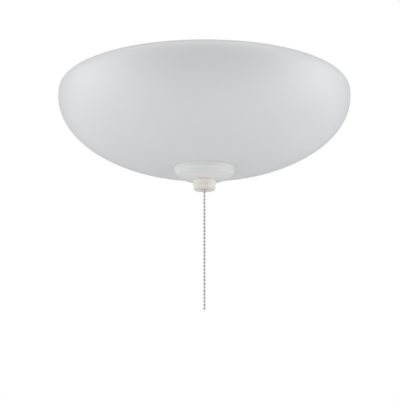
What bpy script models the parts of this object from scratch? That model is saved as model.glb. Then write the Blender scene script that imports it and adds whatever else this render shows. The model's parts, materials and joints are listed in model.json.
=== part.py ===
"""Bowl light kit for a ceiling fan, modelled as separate pieces.

The kit hangs below a fan. +Z is up and the origin is the centre of the flat
top face of the fitter neck, which meets the fan's lower plate. Everything
else hangs below it on the same upright axis: a fitter pan with two lamp
holders, a pull switch, a hollow threaded rod, the glass bowl that the rod
carries, and the pull chain that runs down through the rod.

All sizes are in metres.
"""

import math

import bmesh
import bpy
from mathutils import Matrix, Vector

# Fits shared by the whole kit
SEAT_GAP = 0.0003           # between two pieces that rest on each other
THREAD_CLEARANCE = 0.0003   # radial, between a thread and what is screwed on it
HOLE_CLEARANCE = 0.0006     # radial, round a screw or a rod in a plain hole
CUT_OVERRUN = 0.002         # how far a cutter runs past the face it cuts
MERGE_DISTANCE = 0.000001

# Number of sides on turned pieces
BOWL_SIDES = 40
WIDE_SIDES = 28
MIDDLE_SIDES = 16
SMALL_SIDES = 12
SCREW_SIDES = 8

# Glass bowl: an ellipsoid below its widest level, a fuller shoulder above it
BOWL_RADIUS = 0.1778
BOWL_CURVE_DEPTH = 0.0950       # from the widest level to where the ellipsoid would close
BOWL_TURN_RADIUS = 0.0950       # inside it the ellipsoid eases into the flat seat
BOWL_SEAT_RADIUS = 0.0412       # flat round the hole, inside and out
SHOULDER_RISE = 0.0242          # from the widest level up to the rim
SHOULDER_CURVE_HEIGHT = 0.0351  # where the shoulder's curve would close
SHOULDER_FULLNESS_SHARE = 3.37  # exponent of the shoulder's curve, 2 is an ellipse
BOWL_WALL = 0.0040
BOWL_HOLE_RADIUS = 0.0062
RIM_DROP = 0.0290               # rim below the top face of the fitter neck

# Sheet metal fitter
SHEET = 0.0012
NECK_ROOM = 0.0018              # from the stirrup's screws to the neck's wall
NECK_HEIGHT = 0.0260
NECK_CORNER = 0.0040
NECK_FLANGE = 0.0110
PAN_RADIUS = 0.1180
PAN_OPENING = 0.0375
PAN_SKIRT = 0.0110
PAN_CORNER = 0.0060
PAN_HEM = 0.0016                # radius of the rolled edge
SHIELD_THICKNESS = 0.0015
SHIELD_MARGIN = 0.0030          # from the shield's edge to the pan's corner

# Threaded tube and nuts
TUBE_RADIUS = 0.00485
TUBE_BORE_RADIUS = 0.0032
NUT_FLATS = 0.0160              # across flats
NUT_HEIGHT = 0.0045
NUT_CHAMFER = 0.0010
WASHER_RADIUS = 0.0090
WASHER_THICKNESS = 0.0010
NIPPLE_ABOVE = 0.0130
NIPPLE_BELOW = 0.0100
FAN_PLATE_SPACE = 0.0030        # room for the fan's plate under the top nut

# Screws
SCREW_RADIUS = 0.0020
SCREW_HEAD_RADIUS = 0.0038
SCREW_HEAD_HEIGHT = 0.0022
SCREW_PAST = 0.0030             # how far a screw's tip stands past its work

# Stirrup that carries the rod, and the shelf in it that carries the switch
STRAP = 0.0020
STRAP_BEND = 0.0020             # inside radius of a bend
STIRRUP_WIDTH = 0.0220
STIRRUP_HALF_SPAN = 0.0340
STIRRUP_DROP = 0.0300
STIRRUP_FOOT = 0.0160
SHELF_DROP = 0.0065             # shelf's top below the stirrup's top
SHELF_SHEET = 0.0012
SHELF_WIDTH = 0.0180
SHELF_TAB = 0.0085
RIVET_RADIUS = 0.0015
RIVET_HEAD_RADIUS = 0.0027
RIVET_HEAD_HEIGHT = 0.0009

# Pull switch
CHAIN_PITCH = 0.00435           # 70 beads to the foot
BEAD_RADIUS = 0.0016
LINK_RADIUS = 0.0005
CHAIN_BEADS = 68
CHAIN_SIDES = 6
DRUM_HALF_WIDTH = 0.0036
DRUM_CHEEK = 0.0012             # thickness of each cheek
DRUM_CHEEK_RADIUS = 0.0092
DRUM_PITCH_RADIUS = 0.0080      # from the axle to the chain's line
DRUM_BORE_RADIUS = 0.0018
DRUM_RUNNING = 0.0006           # round the drum inside its housing
SWITCH_WALL = 0.0012
SWITCH_CORNER = 0.0020
SWITCH_COVER = 0.0015
SWITCH_MOUTH = 0.0100           # length of the threaded mouth
SWITCH_MOUTH_RADIUS = 0.0045
SWITCH_MOUTH_BORE = 0.0026
AXLE_RADIUS = 0.0015
RING_NUT_RADIUS = 0.0072
RING_NUT_HEIGHT = 0.0030
SPRING_WIRE = 0.0003            # radius of the wire
SPRING_RADIUS = 0.0031
SPRING_PITCH = 0.0008
SPRING_TURNS = 3
SPRING_POINTS = 10              # to a turn
CONTACT_WIDTH = 0.0040
CONTACT_SHEET = 0.0006
CONTACT_HEIGHT = 0.0060
CONTACT_DEPTH = 0.0010          # below the cover's underside
CONTACT_PLACE_SHARE = 0.8       # of the drum's cheek radius, from the axle

# Lamp holders
HOLDER_AXIS_DROP = 0.0640       # lamp axis below the top face
HOLDER_ROOM = 0.0002            # from the switch's housing to the nearer bracket
HOLDER_LENGTH = 0.0420
HOLDER_RADIUS = 0.0190
HOLDER_BACK = 0.0080            # solid porcelain behind the shell
HOLDER_LIP = 0.0016
SHELL_SHEET = 0.0005
SHELL_CREST_RADIUS = 0.0140
LAMP_THREAD_DEPTH = 0.0008
LAMP_THREAD_PITCH = 0.0036
LAMP_THREADS = 4
LAMP_CLEARANCE = 0.0007         # radial, so that the lamp turns freely in its shell
BRACKET_SHEET = 0.0015
BRACKET_WIDTH = 0.0180
BRACKET_FOOT = 0.0270
BRACKET_BELOW_AXIS = 0.0100
BRACKET_BEND = 0.0008           # inside radius of the bend
BRACKET_SCREW_SHARE = 0.8       # of the foot's length, from its bend

# Lamps
LAMP_RADIUS = 0.0240
LAMP_LENGTH = 0.0890
LAMP_BASE_LENGTH = 0.0250
LAMP_GLASS = 0.0008
LAMP_NECK_RADIUS = 0.0125
LAMP_TIP_RADIUS = 0.0045
LAMP_TIP_FLARE_SHARE = 1.3      # of the tip's radius, where the insulator starts
LAMP_FULL_SHARE = 0.8           # of the bulb's radius, where the neck runs into the ball

# Leads inside the fitter
LEAD_RADIUS = 0.0011
LEAD_SPREAD = 0.0130            # sideways from the holder's middle
CONNECTOR_OFFSET = 0.0280
CONNECTOR_RADIUS = 0.0062
CONNECTOR_TOP_RADIUS = 0.0034
CONNECTOR_HEIGHT = 0.0190
CONNECTOR_TOP_DROP = 0.0050
CONNECTOR_WALL = 0.0014

# Pieces that hold the bowl on the rod
ROD_END_IN_FINIAL = 0.0090      # how far the rod reaches into the finial
STOP_WASHER_RADIUS = 0.0210
GASKET_RADIUS = 0.0190
GASKET_THICKNESS = 0.0020
GROMMET_RADIUS = 0.0120
CAP_RADIUS = 0.0372
CAP_SHEET = 0.0012
CAP_BEAD_HEIGHT = 0.0038
CAP_GROOVE = 0.0007
CAP_WALL_HEIGHT = 0.0050
CAP_WALL_TAPER = 0.0028
CAP_EDGE_RADIUS = 0.0010
CAP_DOME_HEIGHT = 0.0059
CAP_DOME_FULLNESS_SHARE = 1.2   # exponent of the dome's fall
FINIAL_RADIUS = 0.0134
FINIAL_COLLAR_RADIUS = 0.0137
FINIAL_COLLAR_HEIGHT = 0.0044
FINIAL_NOTCH = 0.0008
FINIAL_GRIP_HEIGHT = 0.0060
FINIAL_CHAMFER = 0.0009
FINIAL_RIDGES = 26
FINIAL_RIDGE_DEPTH = 0.0006
FINIAL_HOLE_RADIUS = 0.0030

# Reach of the stirrup's screws, neck, and levels measured down the axis from the top face
stirrup_screw_reach = STIRRUP_HALF_SPAN + STIRRUP_FOOT / 2 + STRAP / 2
neck_radius = stirrup_screw_reach + SCREW_RADIUS + NECK_ROOM + SHEET
pan_top = -NECK_HEIGHT - SEAT_GAP
shield_top = pan_top - SHEET - SEAT_GAP
shield_bottom = shield_top - SHIELD_THICKNESS
stirrup_top = shield_bottom - SEAT_GAP
stirrup_floor = stirrup_top - STIRRUP_DROP
shelf_top = stirrup_top - SHELF_DROP
switch_bottom = shelf_top + SEAT_GAP
rim_level = -RIM_DROP
widest_level = rim_level - SHOULDER_RISE
holder_level = -HOLDER_AXIS_DROP


def bowl_drop_at(radius):
    """Depth of the ellipsoid below the bowl's widest level, at that radius."""
    return BOWL_CURVE_DEPTH * math.sqrt(1 - (radius / BOWL_RADIUS) ** 2)


def easing_drop(inwards):
    """How far the skin still falls, that far inwards of the ellipsoid's end, to meet the seat level."""
    slope = (BOWL_CURVE_DEPTH * BOWL_TURN_RADIUS / BOWL_RADIUS ** 2
             / math.sqrt(1 - (BOWL_TURN_RADIUS / BOWL_RADIUS) ** 2))
    run = BOWL_TURN_RADIUS - BOWL_SEAT_RADIUS
    return slope * (inwards - inwards ** 2 / (2 * run))


skin_turn_level = widest_level - bowl_drop_at(BOWL_TURN_RADIUS)
bowl_bottom = skin_turn_level - easing_drop(BOWL_TURN_RADIUS - BOWL_SEAT_RADIUS)
cap_rim_level = bowl_bottom - SEAT_GAP
cap_bottom = cap_rim_level - CAP_BEAD_HEIGHT - CAP_WALL_HEIGHT - CAP_DOME_HEIGHT
finial_top = cap_bottom - SEAT_GAP
rod_bottom = finial_top - ROD_END_IN_FINIAL
rod_top = stirrup_floor + STRAP + WASHER_THICKNESS + NUT_HEIGHT + 3 * SEAT_GAP
gasket_bottom = bowl_bottom + BOWL_WALL + SEAT_GAP
stop_washer_bottom = gasket_bottom + GASKET_THICKNESS + SEAT_GAP
stop_nut_bottom = stop_washer_bottom + WASHER_THICKNESS + SEAT_GAP

drum_axis_x = -DRUM_PITCH_RADIUS
drum_level = switch_bottom + SWITCH_WALL + DRUM_RUNNING + DRUM_CHEEK_RADIUS
switch_left = drum_axis_x - DRUM_CHEEK_RADIUS - DRUM_RUNNING - SWITCH_WALL
switch_right = SWITCH_MOUTH_BORE + SWITCH_CORNER + SWITCH_WALL
switch_top = drum_level + DRUM_CHEEK_RADIUS + DRUM_RUNNING
spring_room = SPRING_TURNS * SPRING_PITCH + 4 * SPRING_WIRE
switch_half_width = DRUM_HALF_WIDTH + spring_room + SWITCH_WALL

holder_start = -switch_left + HOLDER_ROOM + BRACKET_SHEET + SEAT_GAP
lamp_start = holder_start + HOLDER_BACK + 3 * SEAT_GAP + SHELL_SHEET + CONTACT_SHEET
lamp_threads_start = LAMP_BASE_LENGTH - LAMP_THREADS * LAMP_THREAD_PITCH - 2 * SHELL_SHEET
connector_mouth = -CONNECTOR_TOP_DROP - CONNECTOR_HEIGHT


# Building blocks

def finish_material(name, colour, roughness, metallic=0.0):
    """A Principled material, made once for each name."""
    material = bpy.data.materials.get(name)
    if material is None:
        material = bpy.data.materials.new(name)
        material.use_nodes = True
        shader = material.node_tree.nodes["Principled BSDF"]
        shader.inputs["Base Color"].default_value = (*colour, 1.0)
        shader.inputs["Roughness"].default_value = roughness
        shader.inputs["Metallic"].default_value = metallic
    return material


def frosted_glass():
    return finish_material("frosted_glass", (0.86, 0.86, 0.87), 0.45)


def white_steel():
    return finish_material("white_steel", (0.85, 0.85, 0.84), 0.35, 0.1)


def plated_steel():
    return finish_material("plated_steel", (0.62, 0.62, 0.60), 0.35, 1.0)


def nickel():
    return finish_material("nickel", (0.78, 0.76, 0.73), 0.28, 1.0)


def brass():
    return finish_material("brass", (0.80, 0.62, 0.30), 0.35, 1.0)


def porcelain():
    return finish_material("porcelain", (0.90, 0.89, 0.86), 0.25)


def lamp_glass():
    return finish_material("lamp_glass", (0.93, 0.93, 0.92), 0.35)


def foil():
    return finish_material("foil", (0.80, 0.81, 0.82), 0.40, 1.0)


def rubber():
    return finish_material("rubber", (0.72, 0.72, 0.71), 0.75)


def black_moulding():
    return finish_material("black_moulding", (0.03, 0.03, 0.03), 0.45)


def fibre_board():
    return finish_material("fibre_board", (0.42, 0.27, 0.15), 0.70)


def white_lead():
    return finish_material("white_lead", (0.85, 0.85, 0.83), 0.55)


def black_lead():
    return finish_material("black_lead", (0.03, 0.03, 0.03), 0.50)


def ivory_moulding():
    return finish_material("ivory_moulding", (0.80, 0.76, 0.71), 0.40)


def connector_plastic():
    return finish_material("connector_plastic", (0.80, 0.38, 0.08), 0.50)


def add_piece(name, shape, material, location=(0, 0, 0), turn=None, smooth=True):
    """Turns a bmesh into a named object with its own origin."""
    mesh = bpy.data.meshes.new(name)
    shape.to_mesh(mesh)
    shape.free()
    mesh.materials.append(material)
    if smooth:
        mesh.shade_smooth()
        mesh.set_sharp_from_angle(angle=math.radians(35))
    piece = bpy.data.objects.new(name, mesh)
    bpy.context.collection.objects.link(piece)
    piece.location = location
    if turn is not None:
        piece.rotation_euler = turn
    return piece


def arc(centre_r, centre_z, radius, start, end, steps):
    """Points on an arc in a profile; angles in degrees from outward, upward positive."""
    angles = [math.radians(start + (end - start) * i / steps) for i in range(steps + 1)]
    return [(centre_r + radius * math.cos(a), centre_z + radius * math.sin(a)) for a in angles]


def turned_shape(profile, sides):
    """Revolves a profile of (radius, height) points about Z.

    A profile that starts and ends on the axis is left open there and closes
    at its poles. Any other profile is joined end to end, which leaves a bore.
    """
    shape = bmesh.new()
    verts = [shape.verts.new((r, 0, z)) for r, z in profile]
    on_axis = profile[0][0] == 0 and profile[-1][0] == 0
    ends = verts[1:] if on_axis else verts[1:] + verts[:1]
    edges = [shape.edges.new(pair) for pair in zip(verts, ends)]
    bmesh.ops.spin(shape, geom=verts + edges, cent=(0, 0, 0), axis=(0, 0, 1),
                   angle=2 * math.pi, steps=sides, use_merge=True)
    bmesh.ops.remove_doubles(shape, verts=shape.verts[:], dist=MERGE_DISTANCE)
    bmesh.ops.recalc_face_normals(shape, faces=shape.faces[:])
    return shape


def turned(name, profile, material, sides=MIDDLE_SIDES, location=(0, 0, 0), turn=None):
    return add_piece(name, turned_shape(profile, sides), material, location, turn)


def turned_sheet(name, profile, material):
    """A wide turned piece whose facets, and not its edges, face along X and Y, where holes go."""
    shape = turned_shape(profile, WIDE_SIDES)
    half_step = Matrix.Rotation(math.pi / WIDE_SIDES, 4, "Z")
    bmesh.ops.transform(shape, verts=shape.verts[:], matrix=half_step)
    return add_piece(name, shape, material)


def extruded_shape(outline, depth):
    """Extrudes a closed outline in XY from zero up to depth."""
    shape = bmesh.new()
    face = shape.faces.new([shape.verts.new((x, y, 0)) for x, y in outline])
    walls = bmesh.ops.extrude_face_region(shape, geom=[face])
    top = [v for v in walls["geom"] if isinstance(v, bmesh.types.BMVert)]
    bmesh.ops.translate(shape, vec=(0, 0, depth), verts=top)
    bmesh.ops.recalc_face_normals(shape, faces=shape.faces[:])
    return shape


def box_shape(low, high):
    shape = bmesh.new()
    bmesh.ops.create_cube(shape, size=1)
    size = Vector(high) - Vector(low)
    middle = (Vector(high) + Vector(low)) / 2
    bmesh.ops.transform(shape, verts=shape.verts[:],
                        matrix=Matrix.Translation(middle) @ Matrix.Diagonal((*size, 1)))
    return shape


def strap_outline(path, thickness, bend, steps=2):
    """Outline of a strip that follows path with its outer face, bent round corners.

    The strip lies to the left of the path as it runs, and each corner gets
    an inside radius of bend.
    """
    outer, inner = [], []
    points = [Vector(p) for p in path]
    for i, point in enumerate(points):
        before = (point - points[i - 1]).normalized() if i else None
        after = (points[i + 1] - point).normalized() if i + 1 < len(points) else None
        if before is None or after is None:
            way = after or before
            side = Vector((-way.y, way.x)) * thickness
            outer.append(point)
            inner.append(point + side)
            continue
        turn = before.x * after.y - before.y * after.x
        left_b, left_a = Vector((-before.y, before.x)), Vector((-after.y, after.x))
        reach = bend + (thickness if turn > 0 else 0)
        centre = point + (left_b + left_a) * (reach if turn > 0 else -reach)
        for k in range(steps + 1):
            share = k / steps
            out = (left_b * (1 - share) + left_a * share).normalized()
            if turn > 0:
                outer.append(centre - out * reach)
                inner.append(centre - out * bend)
            else:
                outer.append(centre + out * reach)
                inner.append(centre + out * (reach + thickness))
    return [(p.x, p.y) for p in outer + inner[::-1]]


def cut(piece, cutter_shape, location=(0, 0, 0), turn=None):
    """Cuts a shape, given in the kit's frame, out of a piece."""
    mesh = bpy.data.meshes.new(piece.name + "_cutter")
    cutter_shape.to_mesh(mesh)
    cutter_shape.free()
    cutter = bpy.data.objects.new(mesh.name, mesh)
    bpy.context.collection.objects.link(cutter)
    cutter.location = location
    if turn is not None:
        cutter.rotation_euler = turn
    cutter.hide_render = True
    cutter.display_type = "WIRE"
    change = piece.modifiers.new(cutter.name, "BOOLEAN")
    change.operation = "DIFFERENCE"
    change.solver = "EXACT"
    change.object = cutter


def drill(piece, centre, radius, depth, turn=None, sides=SMALL_SIDES):
    """Drills a round hole through a piece, centred on a point of its axis."""
    half = depth / 2 + CUT_OVERRUN
    profile = [(0, half), (radius, half), (radius, -half), (0, -half)]
    cut(piece, turned_shape(profile, sides), centre, turn)


ALONG_X = (0, math.pi / 2, 0)
ALONG_Y = (math.pi / 2, 0, 0)


def joint_centre(name, location, parent=None):
    """An empty on a joint's axis that carries what moves there."""
    empty = bpy.data.objects.new(name, None)
    bpy.context.collection.objects.link(empty)
    empty.location = location
    if parent is not None:
        carry(empty, parent)
    return empty


def carry(piece, parent):
    """Parents a piece and leaves it where it stands."""
    bpy.context.view_layer.update()
    piece.parent = parent
    piece.matrix_parent_inverse = parent.matrix_world.inverted()


# Repeated hardware

def ringed_shape(rings):
    """Joins rings of points, each to the next and the last to the first, into one closed skin."""
    shape = bmesh.new()
    rows = [[shape.verts.new(point) for point in ring] for ring in rings]
    count = len(rows[0])
    for row, after in zip(rows, rows[1:] + rows[:1]):
        for i in range(count):
            k = (i + 1) % count
            shape.faces.new((row[i], row[k], after[k], after[i]))
    bmesh.ops.recalc_face_normals(shape, faces=shape.faces[:])
    return shape


def hex_nut(name, level):
    """Hexagon nut on the threaded tube, with its corners turned off; level is its underside."""
    flat = NUT_FLATS / 2
    corner = NUT_FLATS / math.sqrt(3)
    hole = TUBE_RADIUS + THREAD_CLEARANCE

    def ring(at_corner, at_flat, height):
        radii = [at_corner, at_flat] * 6
        return [(r * math.cos(math.radians(30 * i)), r * math.sin(math.radians(30 * i)), level + height)
                for i, r in enumerate(radii)]

    rings = [
        ring(hole, hole, 0), ring(flat - NUT_CHAMFER / 2, flat - NUT_CHAMFER / 2, 0),
        ring(corner, flat, NUT_CHAMFER), ring(corner, flat, NUT_HEIGHT - NUT_CHAMFER),
        ring(flat - NUT_CHAMFER / 2, flat - NUT_CHAMFER / 2, NUT_HEIGHT), ring(hole, hole, NUT_HEIGHT)]
    return add_piece(name, ringed_shape(rings), plated_steel(), smooth=False)


def flat_ring(name, inner, outer, level, thickness, material, sides=MIDDLE_SIDES):
    profile = [(inner, level), (outer, level), (outer, level + thickness), (inner, level + thickness)]
    return turned(name, profile, material, sides)


def threaded_tube(name, bottom, top):
    """Hollow threaded tube with chamfered ends."""
    chamfer = (TUBE_RADIUS - TUBE_BORE_RADIUS) / 3
    profile = [
        (TUBE_BORE_RADIUS, bottom), (TUBE_RADIUS - chamfer, bottom),
        (TUBE_RADIUS, bottom + chamfer), (TUBE_RADIUS, top - chamfer),
        (TUBE_RADIUS - chamfer, top), (TUBE_BORE_RADIUS, top)]
    return turned(name, profile, plated_steel(), SMALL_SIDES)


def pan_head_screw(name, seat, grip, turn=None):
    """Pan head screw; seat is the centre of its bearing face and it points along local +Z."""
    rise = SCREW_HEAD_HEIGHT
    tip = grip + SCREW_PAST
    profile = [(0, -rise), (SCREW_HEAD_RADIUS - rise / 2, -rise), (SCREW_HEAD_RADIUS, -rise / 2),
               (SCREW_HEAD_RADIUS, 0), (SCREW_RADIUS, 0), (SCREW_RADIUS, tip - SCREW_RADIUS / 2),
               (SCREW_RADIUS / 2, tip), (0, tip)]
    return turned(name, profile, plated_steel(), SCREW_SIDES, seat, turn)


# Fitter

def fitter_neck():
    """Spun cup that meets the fan, open below, with a flange that sits on the pan."""
    wall_in = neck_radius - SHEET
    outer_corner = arc(neck_radius - NECK_CORNER, -NECK_CORNER, NECK_CORNER, 90, 0, 2)
    inner_corner = arc(neck_radius - NECK_CORNER, -NECK_CORNER, NECK_CORNER - SHEET, 0, 90, 2)
    hole = TUBE_RADIUS + HOLE_CLEARANCE
    flange = neck_radius + NECK_FLANGE
    profile = [
        (hole, 0), *outer_corner,
        (neck_radius, -NECK_HEIGHT + SHEET), (flange, -NECK_HEIGHT + SHEET),
        (flange, -NECK_HEIGHT), (wall_in, -NECK_HEIGHT), *inner_corner, (hole, -SHEET)]
    neck = turned_sheet("fitter_neck", profile, white_steel())
    for x, y in neck_screw_places():
        drill(neck, (x, y, -NECK_HEIGHT + SHEET / 2), SCREW_RADIUS + HOLE_CLEARANCE, SHEET,
              sides=SCREW_SIDES)
    return neck


def neck_screw_places():
    radius = neck_radius + NECK_FLANGE / 2
    return [(radius * math.cos(math.radians(a)), radius * math.sin(math.radians(a)))
            for a in (50, 170, 290)]


def fitter_pan():
    """Spun pan with a turned-down skirt and a rolled edge, open in the middle."""
    bottom = pan_top - SHEET
    corner_r = PAN_RADIUS - PAN_CORNER
    corner_z = pan_top - PAN_CORNER
    hem_level = pan_top - PAN_SKIRT
    hem_centre = PAN_RADIUS - SHEET + PAN_HEM
    hem = arc(hem_centre, hem_level, PAN_HEM, 90, -180, 4)
    profile = [
        (PAN_OPENING, pan_top), *arc(corner_r, corner_z, PAN_CORNER, 90, 0, 2),
        (PAN_RADIUS, hem_level + PAN_HEM), *hem,
        (PAN_RADIUS - SHEET, corner_z), *arc(corner_r, corner_z, PAN_CORNER - SHEET, 0, 90, 2)[1:],
        (PAN_OPENING, bottom)]
    pan = turned_sheet("fitter_pan", profile, white_steel())
    for x, y in neck_screw_places() + stirrup_screw_places() + bracket_screw_places():
        drill(pan, (x, y, pan_top - SHEET / 2), SCREW_RADIUS + HOLE_CLEARANCE, SHEET, sides=SCREW_SIDES)
    return pan


def heat_shield():
    """Foil-faced insulating disc under the pan."""
    outer = PAN_RADIUS - PAN_CORNER - SHIELD_MARGIN
    profile = [(PAN_OPENING, shield_bottom), (outer, shield_bottom), (outer, shield_top),
               (PAN_OPENING, shield_top)]
    shield = turned_sheet("heat_shield", profile, foil())
    middle = (shield_bottom + shield_top) / 2
    for x, y in neck_screw_places() + stirrup_screw_places() + bracket_screw_places():
        drill(shield, (x, y, middle), SCREW_RADIUS + HOLE_CLEARANCE, SHIELD_THICKNESS,
              sides=SCREW_SIDES)
    return shield


def neck_screws():
    """Three screws driven up through the shield and pan into the neck's flange."""
    seat = shield_bottom - SEAT_GAP
    grip = -NECK_HEIGHT + SHEET - seat
    for name, (x, y) in zip(("neck_screw_a", "neck_screw_b", "neck_screw_c"), neck_screw_places()):
        pan_head_screw(name, (x, y, seat), grip)


def mounting_hardware():
    """Threaded nipple through the neck's top, with its nuts and washers."""
    threaded_tube("mounting_nipple", -NIPPLE_BELOW, NIPPLE_ABOVE)
    hole = TUBE_RADIUS + THREAD_CLEARANCE
    washer_level = -SHEET - SEAT_GAP - WASHER_THICKNESS
    flat_ring("nipple_washer", hole, WASHER_RADIUS, washer_level, WASHER_THICKNESS, plated_steel(),
              SMALL_SIDES)
    hex_nut("nipple_nut", washer_level - SEAT_GAP - NUT_HEIGHT)
    flat_ring("fan_washer", hole, WASHER_RADIUS, FAN_PLATE_SPACE, WASHER_THICKNESS, plated_steel(),
              SMALL_SIDES)
    hex_nut("fan_nut", FAN_PLATE_SPACE + WASHER_THICKNESS + SEAT_GAP)


# Stirrup, shelf and rod

def stirrup_screw_places():
    reach = stirrup_screw_reach
    return [(0, reach), (0, -reach)]


def stirrup():
    """Strap bent to a U with two feet; it hangs from the pan and carries the rod."""
    foot_end = STIRRUP_HALF_SPAN + STIRRUP_FOOT
    foot_level = stirrup_top - STRAP
    floor = stirrup_floor
    path = [(-foot_end, foot_level), (-STIRRUP_HALF_SPAN, foot_level), (-STIRRUP_HALF_SPAN, floor),
            (STIRRUP_HALF_SPAN, floor), (STIRRUP_HALF_SPAN, foot_level), (foot_end, foot_level)]
    outline = strap_outline(path, STRAP, STRAP_BEND)
    shape = extruded_shape(outline, STIRRUP_WIDTH)
    # The outline's x runs along the kit's Y and its y runs up
    frame = Matrix(((0, 0, 1, -STIRRUP_WIDTH / 2), (1, 0, 0, 0), (0, 1, 0, 0), (0, 0, 0, 1)))
    bmesh.ops.transform(shape, verts=shape.verts[:], matrix=frame)
    strap = add_piece("rod_stirrup", shape, plated_steel())
    drill(strap, (0, 0, floor + STRAP / 2), TUBE_RADIUS + THREAD_CLEARANCE, STRAP)
    for x, y in stirrup_screw_places():
        drill(strap, (x, y, foot_level + STRAP / 2), SCREW_RADIUS + HOLE_CLEARANCE, STRAP,
              sides=SCREW_SIDES)
    for y, z in rivet_places():
        drill(strap, (0, y, z), RIVET_RADIUS + HOLE_CLEARANCE / 2, STRAP, ALONG_Y, SCREW_SIDES)
    return strap


def stirrup_screws():
    seat = stirrup_top - STRAP - SEAT_GAP
    grip = pan_top - seat
    for name, (x, y) in zip(("stirrup_screw_a", "stirrup_screw_b"), stirrup_screw_places()):
        pan_head_screw(name, (x, y, seat), grip)


def rivet_places():
    """Middle of the stirrup's legs at the height of the shelf's tabs."""
    leg = STIRRUP_HALF_SPAN - STRAP / 2
    level = shelf_top - SHELF_TAB / 2 - SHELF_SHEET
    return [(leg, level), (-leg, level)]


def switch_shelf():
    """Thin plate across the stirrup with two turned-down tabs."""
    half = STIRRUP_HALF_SPAN - STRAP - SEAT_GAP
    low = shelf_top - SHELF_TAB - SHELF_SHEET
    path = [(half, low), (half, shelf_top), (-half, shelf_top), (-half, low)]
    shape = extruded_shape(strap_outline(path, SHELF_SHEET, SHELF_SHEET / 2), SHELF_WIDTH)
    frame = Matrix(((0, 0, 1, -SHELF_WIDTH / 2), (1, 0, 0, 0), (0, 1, 0, 0), (0, 0, 0, 1)))
    bmesh.ops.transform(shape, verts=shape.verts[:], matrix=frame)
    shelf = add_piece("switch_shelf", shape, plated_steel())
    drill(shelf, (0, 0, shelf_top - SHELF_SHEET / 2), SWITCH_MOUTH_RADIUS + THREAD_CLEARANCE, SHELF_SHEET)
    for y, z in rivet_places():
        reach = abs(y) - STRAP / 2 - SEAT_GAP - SHELF_SHEET / 2
        drill(shelf, (0, math.copysign(reach, y), z), RIVET_RADIUS + HOLE_CLEARANCE / 2,
              SHELF_SHEET, ALONG_Y, SCREW_SIDES)
    return shelf


def shelf_rivets():
    """Rivets through the legs and tabs, each with two heads."""
    outside = STIRRUP_HALF_SPAN + SEAT_GAP
    inside = STIRRUP_HALF_SPAN - STRAP - SEAT_GAP - SHELF_SHEET - SEAT_GAP
    head = RIVET_HEAD_HEIGHT
    profile = [(0, outside + head), (RIVET_RADIUS, outside + head),
               (RIVET_HEAD_RADIUS, outside + head / 3), (RIVET_HEAD_RADIUS, outside),
               (RIVET_RADIUS, outside), (RIVET_RADIUS, inside),
               (RIVET_HEAD_RADIUS, inside), (RIVET_HEAD_RADIUS, inside - head / 3),
               (RIVET_RADIUS, inside - head), (0, inside - head)]
    level = rivet_places()[0][1]
    turned("shelf_rivet_a", profile, plated_steel(), SCREW_SIDES, (0, 0, level), (-math.pi / 2, 0, 0))
    turned("shelf_rivet_b", profile, plated_steel(), SCREW_SIDES, (0, 0, level), (math.pi / 2, 0, 0))


def rod_and_nuts():
    """Hollow rod through the stirrup's floor, held by a nut on each side of it."""
    threaded_tube("centre_rod", rod_bottom, rod_top)
    hole = TUBE_RADIUS + THREAD_CLEARANCE
    above = stirrup_floor + STRAP + SEAT_GAP
    flat_ring("rod_washer", hole, WASHER_RADIUS, above, WASHER_THICKNESS, plated_steel(), SMALL_SIDES)
    hex_nut("rod_nut_upper", above + WASHER_THICKNESS + SEAT_GAP)
    hex_nut("rod_nut_lower", stirrup_floor - SEAT_GAP - NUT_HEIGHT)


# Pull switch

def switch_housing():
    """Moulded box, open on top, with a threaded mouth below that the chain leaves by."""
    low = (switch_left, -switch_half_width, switch_bottom)
    high = (switch_right, switch_half_width, switch_top)
    body = box_shape(low, high)
    upright = [e for e in body.edges if abs(e.verts[0].co.z - e.verts[1].co.z) > SWITCH_WALL]
    bmesh.ops.bevel(body, geom=upright, offset=SWITCH_CORNER, segments=2, profile=0.5,
                    affect="EDGES")
    housing = add_piece("switch_housing", body, black_moulding())
    mouth_end = switch_bottom - SWITCH_MOUTH
    chamfer = (SWITCH_MOUTH_RADIUS - SWITCH_MOUTH_BORE) / 3
    root = switch_bottom + SWITCH_WALL / 2
    radius = SWITCH_MOUTH_RADIUS
    mouth = turned_shape([(0, root), (radius, root), (radius, mouth_end + chamfer),
                          (radius - chamfer, mouth_end), (0, mouth_end)], SMALL_SIDES)
    unite(housing, mouth)
    room = box_shape((low[0] + SWITCH_WALL, low[1] + SWITCH_WALL, low[2] + SWITCH_WALL),
                     (high[0] - SWITCH_WALL, high[1] - SWITCH_WALL, high[2] + CUT_OVERRUN))
    cut(housing, room)
    drill(housing, (0, 0, (mouth_end + switch_bottom + SWITCH_WALL) / 2), SWITCH_MOUTH_BORE,
          SWITCH_MOUTH + SWITCH_WALL)
    drill(housing, (drum_axis_x, 0, drum_level), AXLE_RADIUS + HOLE_CLEARANCE / 2,
          2 * switch_half_width, ALONG_Y, SCREW_SIDES)
    return housing


def unite(piece, shape):
    """Joins a shape, given in the kit's frame, to a piece."""
    mesh = bpy.data.meshes.new(piece.name + "_addition")
    shape.to_mesh(mesh)
    shape.free()
    addition = bpy.data.objects.new(mesh.name, mesh)
    bpy.context.collection.objects.link(addition)
    addition.hide_render = True
    addition.display_type = "WIRE"
    change = piece.modifiers.new(addition.name, "BOOLEAN")
    change.operation = "UNION"
    change.solver = "EXACT"
    change.object = addition


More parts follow.
